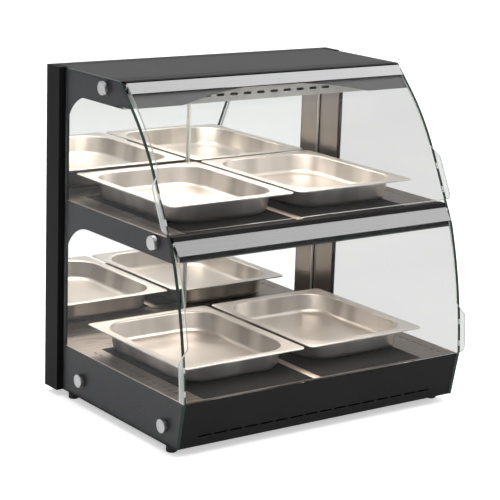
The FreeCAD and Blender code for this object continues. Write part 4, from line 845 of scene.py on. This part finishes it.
class FormFoodPans(Operator):
    """Four deep-drawn food pans with a hemmed rim and rounded wells"""
    bl_idname = "display_case.form_food_pans"
    bl_label = "Food pans"

    def well(self, bm, pans, edges, top, size, depth):
        """Draw a well down from an edge loop, leaning in, and close it with a floor."""
        wall = bmesh.ops.extrude_edge_only(bm, edges=edges)["geom"]
        verts = verts_in(wall)
        floor = [e for e in wall if isinstance(e, bmesh.types.BMEdge) and all(v in verts for v in e.verts)]
        shrink = Matrix.Diagonal((1 - 2 * pans.taper / size[0], 1 - 2 * pans.taper / size[1], 1, 1))
        bmesh.ops.transform(bm, matrix=Matrix.Translation((0, 0, -depth)) @ shrink,
                            space=Matrix.Translation(-top), verts=verts)
        bmesh.ops.contextual_create(bm, geom=floor)
        soften(bm, floor, pans.floor_round, segments=6, clamp_overlap=True)

    def round_rim(self, bm, pans, top, size):
        """Round the rim into the well and over its outer edge."""
        bend = 1.0
        turns = [e for e in bm.edges if len(e.link_faces) == 2 and e.calc_face_angle(0) > bend
                 and min(v.co.z for v in e.verts) > top.z - TOUCH]
        mouth = [e for e in turns if all(abs(v.co[axis] - top[axis]) < size[axis] / 2 + ON_FACE
                                         for v in e.verts for axis in (0, 1))]
        soften(bm, mouth, pans.mouth_round, segments=4, clamp_overlap=True)
        outer = [e for e in turns if e.is_valid and e not in mouth]
        soften(bm, outer, pans.rim_round, segments=3, clamp_overlap=True)

    def pan(self, pans, low, high):
        """A pan that fills a box: hem, flat rim and well, given the sheet's thickness."""
        bm = bmesh.new()
        top = Vector(((low.x + high.x) / 2, (low.y + high.y) / 2, high.z))
        span = high - low
        outer = rounded_ring(bm, top, span, pans.rim_corner, pans.corner_steps)
        size = (span.x - 2 * pans.rim, span.y - 2 * pans.rim)
        inner = rounded_ring(bm, top, size, pans.well_corner, pans.corner_steps)
        bmesh.ops.bridge_loops(bm, edges=outer + inner)
        hem = bmesh.ops.extrude_edge_only(bm, edges=outer)["geom"]
        bmesh.ops.translate(bm, vec=(0, 0, -pans.hem), verts=verts_in(hem))
        self.well(bm, pans, inner, top, size, span.z - pans.sheet)
        self.round_rim(bm, pans, top, size)
        bmesh.ops.recalc_face_normals(bm, faces=bm.faces)
        if sum(f.normal.z * f.calc_area() for f in bm.faces) < 0:
            bmesh.ops.reverse_faces(bm, faces=bm.faces)
        bmesh.ops.solidify(bm, geom=bm.faces[:], thickness=pans.sheet)
        return bm

    def execute(self, context):
        for tier in TIERS:
            for side in SIDES:
                name = tier + "_" + side
                piece(self.pan(settings("pans"), *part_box(name + "_pan")), name + "_steel_pan",
                      finish("pan steel"), name + "_food_pan", [name + "_pan"])
        return {"FINISHED"}


class TurnGlassCaps(Operator):
    """Turned aluminium caps of the glass fixings, each on a black washer"""
    bl_idname = "display_case.turn_glass_caps"
    bl_label = "Glass caps"

    def execute(self, context):
        caps = settings("caps")
        bm = bmesh.new()
        turn = bm.verts.layers.float.new("turn")
        washers = bmesh.new()
        for low, high in loose_boxes("side_glass_caps"):
            sign = 1 if low.x > 0 else -1
            glass_x, outer_x = (low.x, high.x) if sign > 0 else (high.x, low.x)
            radius = (high.y - low.y) / 2
            centre = (low + high) / 2
            old = set(bm.verts)
            matrix = Matrix.Translation(centre) @ Matrix.Rotation(sign * QUARTER_TURN, 4, "Y")
            made = disc(bm, matrix, radius, high.x - low.x, caps.steps)
            rim = [e for e in {e for v in made for e in v.link_edges}
                   if all(abs(v.co.x - outer_x) < TOUCH for v in e.verts)]
            soften(bm, rim, caps.chamfer, segments=3)
            ends = [f for f in bm.faces if f.verts[0] not in old and abs(f.normal.x) > FACING
                    and abs(f.calc_center_median().x - outer_x) < TOUCH]
            face = max(ends, key=lambda f: f.calc_area())
            for ring in range(caps.rings):
                bmesh.ops.inset_region(bm, faces=[face], thickness=radius * caps.ring_width,
                                       use_even_offset=True)
            for vert in bm.verts:
                if vert not in old:
                    vert[turn] = math.hypot(vert.co.y - centre.y, vert.co.z - centre.z)
            centre.x = glass_x - sign * caps.washer / 2
            matrix = Matrix.Translation(centre) @ Matrix.Rotation(QUARTER_TURN, 4, "Y")
            disc(washers, matrix, radius - caps.washer_lap, caps.washer, caps.steps)
        piece(bm, "turned_glass_caps", finish("turned aluminium"), "case",
              ["side_glass_caps"])
        piece(washers, "cap_washers", finish("rubber"), "case")
        return {"FINISHED"}


class ModelKnobs(Operator):
    """Fluted heat knobs with a raised pointer"""
    bl_idname = "display_case.model_knobs"
    bl_label = "Heat knobs"

    # Half section from the panel to the front: how far in from the rim, and how high.
    SECTION = ((0.0006, 0.0), (0.0, 0.0006), (0.0, 0.0036), (0.0010, 0.0046), (0.0034, 0.0050),
               (0.0040, 0.0056), (0.0048, 0.0160), (0.0056, 0.0172), (0.0072, 0.0180))
    GRIP_FOOT = 0.0052
    GRIP_CORE = 0.002
    POINTER = (0.0014, 0.0006, 0.0060)
    POINTER_SINK = 0.0004
    POINTER_OUT = 0.0055

    def flute(self, bm, controls, foot):
        """Press the finger flutes into the grip."""
        for vert in bm.verts:
            out = vert.co - foot
            reach = math.hypot(out.x, out.z)
            if out.y > self.GRIP_FOOT and reach > self.GRIP_CORE:
                wave = math.cos(controls.flutes * math.atan2(out.z, out.x))
                factor = 1 - controls.flute_depth * max(0.0, wave) ** 2 / reach
                vert.co.x = foot.x + out.x * factor
                vert.co.z = foot.z + out.z * factor

    def execute(self, context):
        controls = settings("controls")
        for tier in TIERS:
            node = tier + "_heat_knob"
            low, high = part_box(node)
            radius = (high.z - low.z) / 2
            foot = Vector(((low.x + high.x) / 2, high.y - controls.knob_height, (low.z + high.z) / 2))
            rim = [(radius - inset, height) for inset, height in self.SECTION]
            bm = bmesh.new()
            lathe(bm, foot, [(0, 0), *rim, (0, rim[-1][1])], steps=controls.flutes * 6)
            bmesh.ops.remove_doubles(bm, verts=bm.verts, dist=MERGE)
            self.flute(bm, controls, foot)
            piece(bm, tier + "_fluted_knob", finish("knob plastic"), tier + "_knob", [node],
                  crease=28)
            bm = bmesh.new()
            spot = Matrix.Translation((foot.x, high.y - self.POINTER_SINK, foot.z + self.POINTER_OUT))
            block(bm, spot, self.POINTER)
            soften(bm, bm.edges[:], offset=0.0001, segments=2)
            piece(bm, tier + "_knob_pointer", finish("printed marks"), tier + "_knob")
        return {"FINISHED"}


class PrintDials(Operator):
    """Dial marks and numbers round both heat knobs"""
    bl_idname = "display_case.print_dials"
    bl_label = "Dial marks"

    def execute(self, context):
        controls = settings("controls")
        step = math.radians(30)
        short = 0.6
        for tier in TIERS:
            low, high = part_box(tier + "_heat_knob")
            y = high.y - controls.knob_height + controls.ink / 2
            centre = Vector(((low.x + high.x) / 2, y, (low.z + high.z) / 2))
            bm = bmesh.new()
            for mark in range(10):
                size = controls.tick * (1.0 if mark % 3 == 0 else short)
                matrix = Matrix.Translation(centre) @ Matrix.Rotation(step * mark, 4, "Y")
                block(bm, matrix @ Matrix.Translation((0, 0, controls.dial_radius)),
                      (controls.tick_width, controls.ink, size))
            reach = controls.dial_radius + controls.number_gap
            for mark in range(0, 10, 3):
                out = Vector((-math.sin(step * mark), 0, math.cos(step * mark))) * reach
                spot = Matrix.Translation(centre + out)
                letter(bm, str(mark * 10), controls.number, spot @ TO_READ_FROM_REAR)
            piece(bm, tier + "_dial_marks", finish("printed marks"), "case")
        return {"FINISHED"}


class MarkSwitches(Operator):
    """On and off marks on both rocker switches"""
    bl_idname = "display_case.mark_switches"
    bl_label = "Switch marks"

    def execute(self, context):
        controls = settings("controls")
        outwards = 0.8
        sunk = 0.4
        for which in ("main", "lamp"):
            node = which + "_switch_rocker"
            low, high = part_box(node)
            bm = copy_of(node)
            faces = [f for f in bm.faces if f.normal.y > outwards]
            upper = [f for f in faces if f.calc_center_median().z > (low.z + high.z) / 2]
            lower = [f for f in faces if f not in upper]
            marks = bmesh.new()
            for group, text in ((upper, "I"), (lower, "O")):
                total = sum(f.calc_area() for f in group)
                spot = sum((f.calc_center_median() * f.calc_area() for f in group), Vector()) / total
                normal = sum((f.normal * f.calc_area() for f in group), Vector()).normalized()
                lean = Matrix.Rotation(math.atan2(normal.z, normal.y), 4, "X")
                spot += normal * controls.ink * sunk
                letter(marks, text, controls.switch_mark, Matrix.Translation(spot) @ lean @ TO_READ_FROM_REAR)
            bm.free()
            piece(marks, which + "_switch_marks", finish("printed marks"), which + "_rocker")
        return {"FINISHED"}


class SetPanelScrews(Operator):
    """Domed cross-head screws of the rear control panel"""
    bl_idname = "display_case.set_panel_screws"
    bl_label = "Panel screws"

    # Half section of a head as shares of its radius and its height.
    SECTION = ((0, 0), (1, 0), (1, 0.35), (0.86, 0.72), (0.6, 0.93), (0.3, 1), (0, 1))
    SLOT_WIDTH = 0.0009
    SLOT_DEPTH = 0.0016
    SLOT_REACH = 1.1

    def execute(self, context):
        bm = bmesh.new()
        cutters = []
        for low, high in loose_boxes("panel_screws"):
            centre = (low + high) / 2
            radius = (high.x - low.x) / 2
            outline = [(radius * out, (high.y - low.y) * up) for out, up in self.SECTION]
            lathe(bm, Vector((centre.x, low.y, centre.z)), outline, steps=32)
            reach = radius * self.SLOT_REACH
            for width, tall in ((self.SLOT_WIDTH, reach), (reach, self.SLOT_WIDTH)):
                slot = bmesh.new()
                block(slot, Matrix.Translation((centre.x, high.y, centre.z)), (width, self.SLOT_DEPTH, tall))
                cutters.append(cutter(slot, "cross_cutter"))
        heads = piece(bm, "cross_head_screws", finish("bright steel"), "case", ["panel_screws"])
        cut_with(heads, cutters)
        return {"FINISHED"}


class DomePilotLamps(Operator):
    """Domed lenses of the pilot lamps in their bezels"""
    bl_idname = "display_case.dome_pilot_lamps"
    bl_label = "Pilot lamps"

    def execute(self, context):
        lens = bmesh.new()
        ring = bmesh.new()
        for low, high in loose_boxes("pilot_lamps"):
            dome = 0.003
            base = Vector(((low.x + high.x) / 2, high.y - dome, (low.z + high.z) / 2))
            foot = low.y - base.y
            outer = (high.x - low.x) / 2
            inner = outer - 0.0021
            side = inner - 0.0001
            lathe(lens, base, ((0, foot), (side, foot), (side, 0.0012), (side - 0.0004, 0.0019),
                               (side - 0.0018, 0.0026), (0, dome)), steps=40)
            lathe(ring, base, ((inner, 0), (outer, 0), (outer, 0.0008), (outer - 0.0006, 0.0014),
                               (inner, 0.0014)), steps=40, closed=True)
        piece(lens, "pilot_lenses", finish("pilot lens"), "case", ["pilot_lamps"])
        piece(ring, "pilot_bezels", finish("bright steel"), "case")
        return {"FINISHED"}


class TrimDoors(Operator):
    """Slim aluminium trims on the mirror doors' outer edges and a baffle between each pair"""
    bl_idname = "display_case.trim_doors"
    bl_label = "Door trims"

    def execute(self, context):
        trims = settings("trims")
        for tier in TIERS:
            for side in SIDES:
                leaf = tier + "_" + side + "_door"
                low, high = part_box(leaf)
                near = high.x - trims.door_wall if side == "right" else low.x
                bm = bmesh.new()
                bar(bm, (near, low.y - trims.door_lap, low.z + trims.door_end),
                    (near + trims.door_wall, low.y - trims.door_air, high.z - trims.door_end), trims.soft)
                piece(bm, leaf + "_trim", finish("door trim"), leaf + "_leaf")
            leaf = tier + "_right_door"
            low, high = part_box(leaf)
            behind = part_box(tier + "_left_door")[0].y - trims.door_gap
            bm = bmesh.new()
            bar(bm, (low.x - 2 * trims.door_lap, low.y, low.z + trims.door_end),
                (low.x - trims.door_air, behind, high.z - trims.door_end), trims.soft)
            piece(bm, leaf + "_baffle", finish("door baffle"), leaf + "_leaf")
        return {"FINISHED"}


class HemDecks(Operator):
    """Hems along the decks' edges in steel brightened as a painted highlight, and a strip between two hot
    plates in steel brightened as painted light
    """
    bl_idname = "display_case.hem_decks"
    bl_label = "Deck hems"

    def execute(self, context):
        trims = settings("trims")
        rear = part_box("side_glass_left")[1].y - trims.hem_end
        for tier in TIERS:
            low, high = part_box(tier + "_deck")
            foot, top = high.z + trims.hem_air, high.z + trims.hem_rise
            bm = bmesh.new()
            for side in (-1, 1):
                inner, outer = sorted((side * (high.x - trims.hem), side * high.x))
                bar(bm, (inner, low.y, foot), (outer, rear, top), trims.soft)
            if tier == "upper":
                bar(bm, (low.x + trims.hem, low.y, foot), (high.x - trims.hem, low.y + trims.hem, top),
                    trims.soft)
            piece(bm, tier + "_deck_hems", finish("hem steel"), "case")
            left, right = loose_boxes(tier + "_hot_plates")
            # The divider strip carries painted light: deck steel brightened.
            bm = bmesh.new()
            bar(bm, (left[1].x - trims.divider, low.y + 2 * trims.hem, foot),
                (right[0].x + trims.divider, left[1].y, top), trims.soft)
            piece(bm, tier + "_deck_divider", finish("divider steel"), "case")
        return {"FINISHED"}


class BuildStage(Operator):
    """Pale floor, soft studio light and the camera"""
    bl_idname = "display_case.build_stage"
    bl_label = "Stage"

    def floor(self, stage):
        """Pale floor that glows a little, by how it is seen."""
        bm = bmesh.new()
        bmesh.ops.create_grid(bm, x_segments=1, y_segments=1, size=stage.floor)
        floor = linked_object(bm, "floor")
        f = Finish("pale floor")
        path = f.add("ShaderNodeLightPath").outputs
        glow = 0.0
        for source, strength in ((path["Is Camera Ray"], stage.floor_glow),
                                 (path["Is Transmission Ray"], stage.through_glow),
                                 (f.soft_reflection(path), stage.floor_mirrored)):
            glow = f.reckon("MULTIPLY_ADD", source, strength, glow)
        shade = f.shades(path["Is Transmission Ray"], stage.floor_colour, stage.floor_through)
        f.surface(Base_Color=shade, Roughness=0.9, Specular_IOR_Level=0.0, Emission_Color=(1, 1, 1),
                  Emission_Strength=glow)
        floor.data.materials.append(f.material)

    def room(self, stage):
        """Room that is bright overhead and on one side, dimmer at the floor, on a white background."""
        world = bpy.data.worlds.new("studio room")
        bpy.context.scene.world = world
        w = Wiring(world)
        where = w.add("ShaderNodeTexCoord").outputs["Generated"]
        overhead = w.between(w.part(where, "Z"), stage.horizon, stage.room, 0.0, 1.0)
        away = w.add("ShaderNodeVectorMath", operation="DISTANCE")
        w.feed(away.inputs[0], where)
        w.feed(away.inputs[1], Vector(stage.card_side).normalized())
        card = w.between(away.outputs["Value"], stage.card, 0.0, 0.0, stage.card_reach,
                         interpolation_type="SMOOTHSTEP")
        seen = w.add("ShaderNodeLightPath").outputs["Is Camera Ray"]
        strength = w.add("ShaderNodeMix", Factor=seen, A=w.reckon("ADD", overhead, card), B=stage.white)
        back = w.tree.nodes["Background"]
        w.feed(back.inputs["Color"], (1, 1, 1))
        w.feed(back.inputs["Strength"], strength.outputs["Result"])

    def softbox(self, name, power, size, at, towards, mirrored=False, rgb=(1, 1, 1)):
        """Soft lamp aimed at a point, shown by glossy surfaces or not."""
        data = bpy.data.lights.new(name, "AREA")
        data.shape = "RECTANGLE"
        data.size, data.size_y = size
        data.energy = power
        data.color = rgb
        lamp = bpy.data.objects.new(name, data)
        lamp.visible_glossy = mirrored
        lamp.visible_camera = lamp.visible_transmission = False
        lamp.location = at
        lamp.rotation_euler = (Vector(towards) - Vector(at)).to_track_quat("-Z", "Y").to_euler()
        bpy.context.scene.collection.objects.link(lamp)

    def lamps(self, stage):
        """The softbox overhead, and the case's own lamps with the light that the ceilings throw back."""
        wide = stage.overhead_size
        self.softbox("overhead softbox", stage.overhead, (wide, wide), stage.overhead_at, stage.overhead_to)
        kinds = (("case lamp", stage.lamp, 0.0, stage.lamp_drop),
                 ("ceiling wash", stage.wash, stage.wash_reach, stage.wash_drop))
        for low, high in loose_boxes("lamp_lenses"):
            for name, power, reach, drop in kinds:
                size = (high.x - low.x, high.y - low.y + 2 * reach)
                spot = Vector(((low.x + high.x) / 2, (low.y + high.y) / 2, low.z - drop))
                self.softbox(name, power, size, spot, spot - Vector((0, 0, 1)), True, stage.lamp_colour)

    def camera(self, stage):
        """Camera that looks at its target, turned a little about its view line."""
        data = bpy.data.cameras.new("camera")
        data.lens = stage.lens
        data.sensor_width = stage.sensor
        data.clip_start, data.clip_end = 0.1, 50.0
        camera = bpy.data.objects.new("camera", data)
        scene = bpy.context.scene
        scene.collection.objects.link(camera)
        view = (Vector(stage.target) - Vector(stage.camera)).normalized()
        right = view.cross(Vector((0, 0, 1))).normalized()
        upright = Matrix((right, right.cross(view), -view)).transposed().to_4x4()
        camera.matrix_world = Matrix.Translation(stage.camera) @ upright @ Matrix.Rotation(stage.roll, 4, "Z")
        scene.camera = camera
        scene.view_settings.view_transform = "Standard"

    def execute(self, context):
        stage = settings("stage")
        self.floor(stage)
        self.room(stage)
        self.lamps(stage)
        self.camera(stage)
        return {"FINISHED"}


OPERATORS = (FinishFrame, PrintSideGlass, PrintFrontGlass, FormFoodPans, TurnGlassCaps, ModelKnobs,
             PrintDials, MarkSwitches, SetPanelScrews, DomePilotLamps, TrimDoors, HemDecks, BuildStage)


class DisplayCasePanel(Panel):
    """Sidebar panel of the display case"""
    bl_idname = "VIEW3D_PT_display_case"
    bl_label = "Display Case"
    bl_space_type = "VIEW_3D"
    bl_region_type = "UI"
    bl_category = "Display Case"

    def draw(self, context):
        for group, kind in GROUPS.items():
            box = self.layout.box()
            box.label(text=group.title())
            for name in kind.__annotations__:
                box.prop(settings(group), name)
        for operator in OPERATORS:
            self.layout.operator(operator.bl_idname)


def register():
    for kind in (*GROUPS.values(), *OPERATORS, DisplayCasePanel):
        bpy.utils.register_class(kind)
    for group, kind in GROUPS.items():
        setattr(bpy.types.Scene, "display_case_" + group, PointerProperty(type=kind))


def unregister():
    for group in GROUPS:
        delattr(bpy.types.Scene, "display_case_" + group)
    for kind in (DisplayCasePanel, *reversed(OPERATORS), *reversed(GROUPS.values())):
        bpy.utils.unregister_class(kind)


def main():
    """Finish the whole case and build the stage."""
    register()
    for operator in OPERATORS:
        group, name = operator.bl_idname.split(".")
        getattr(getattr(bpy.ops, group), name)()


if __name__ == "__main__":
    main()
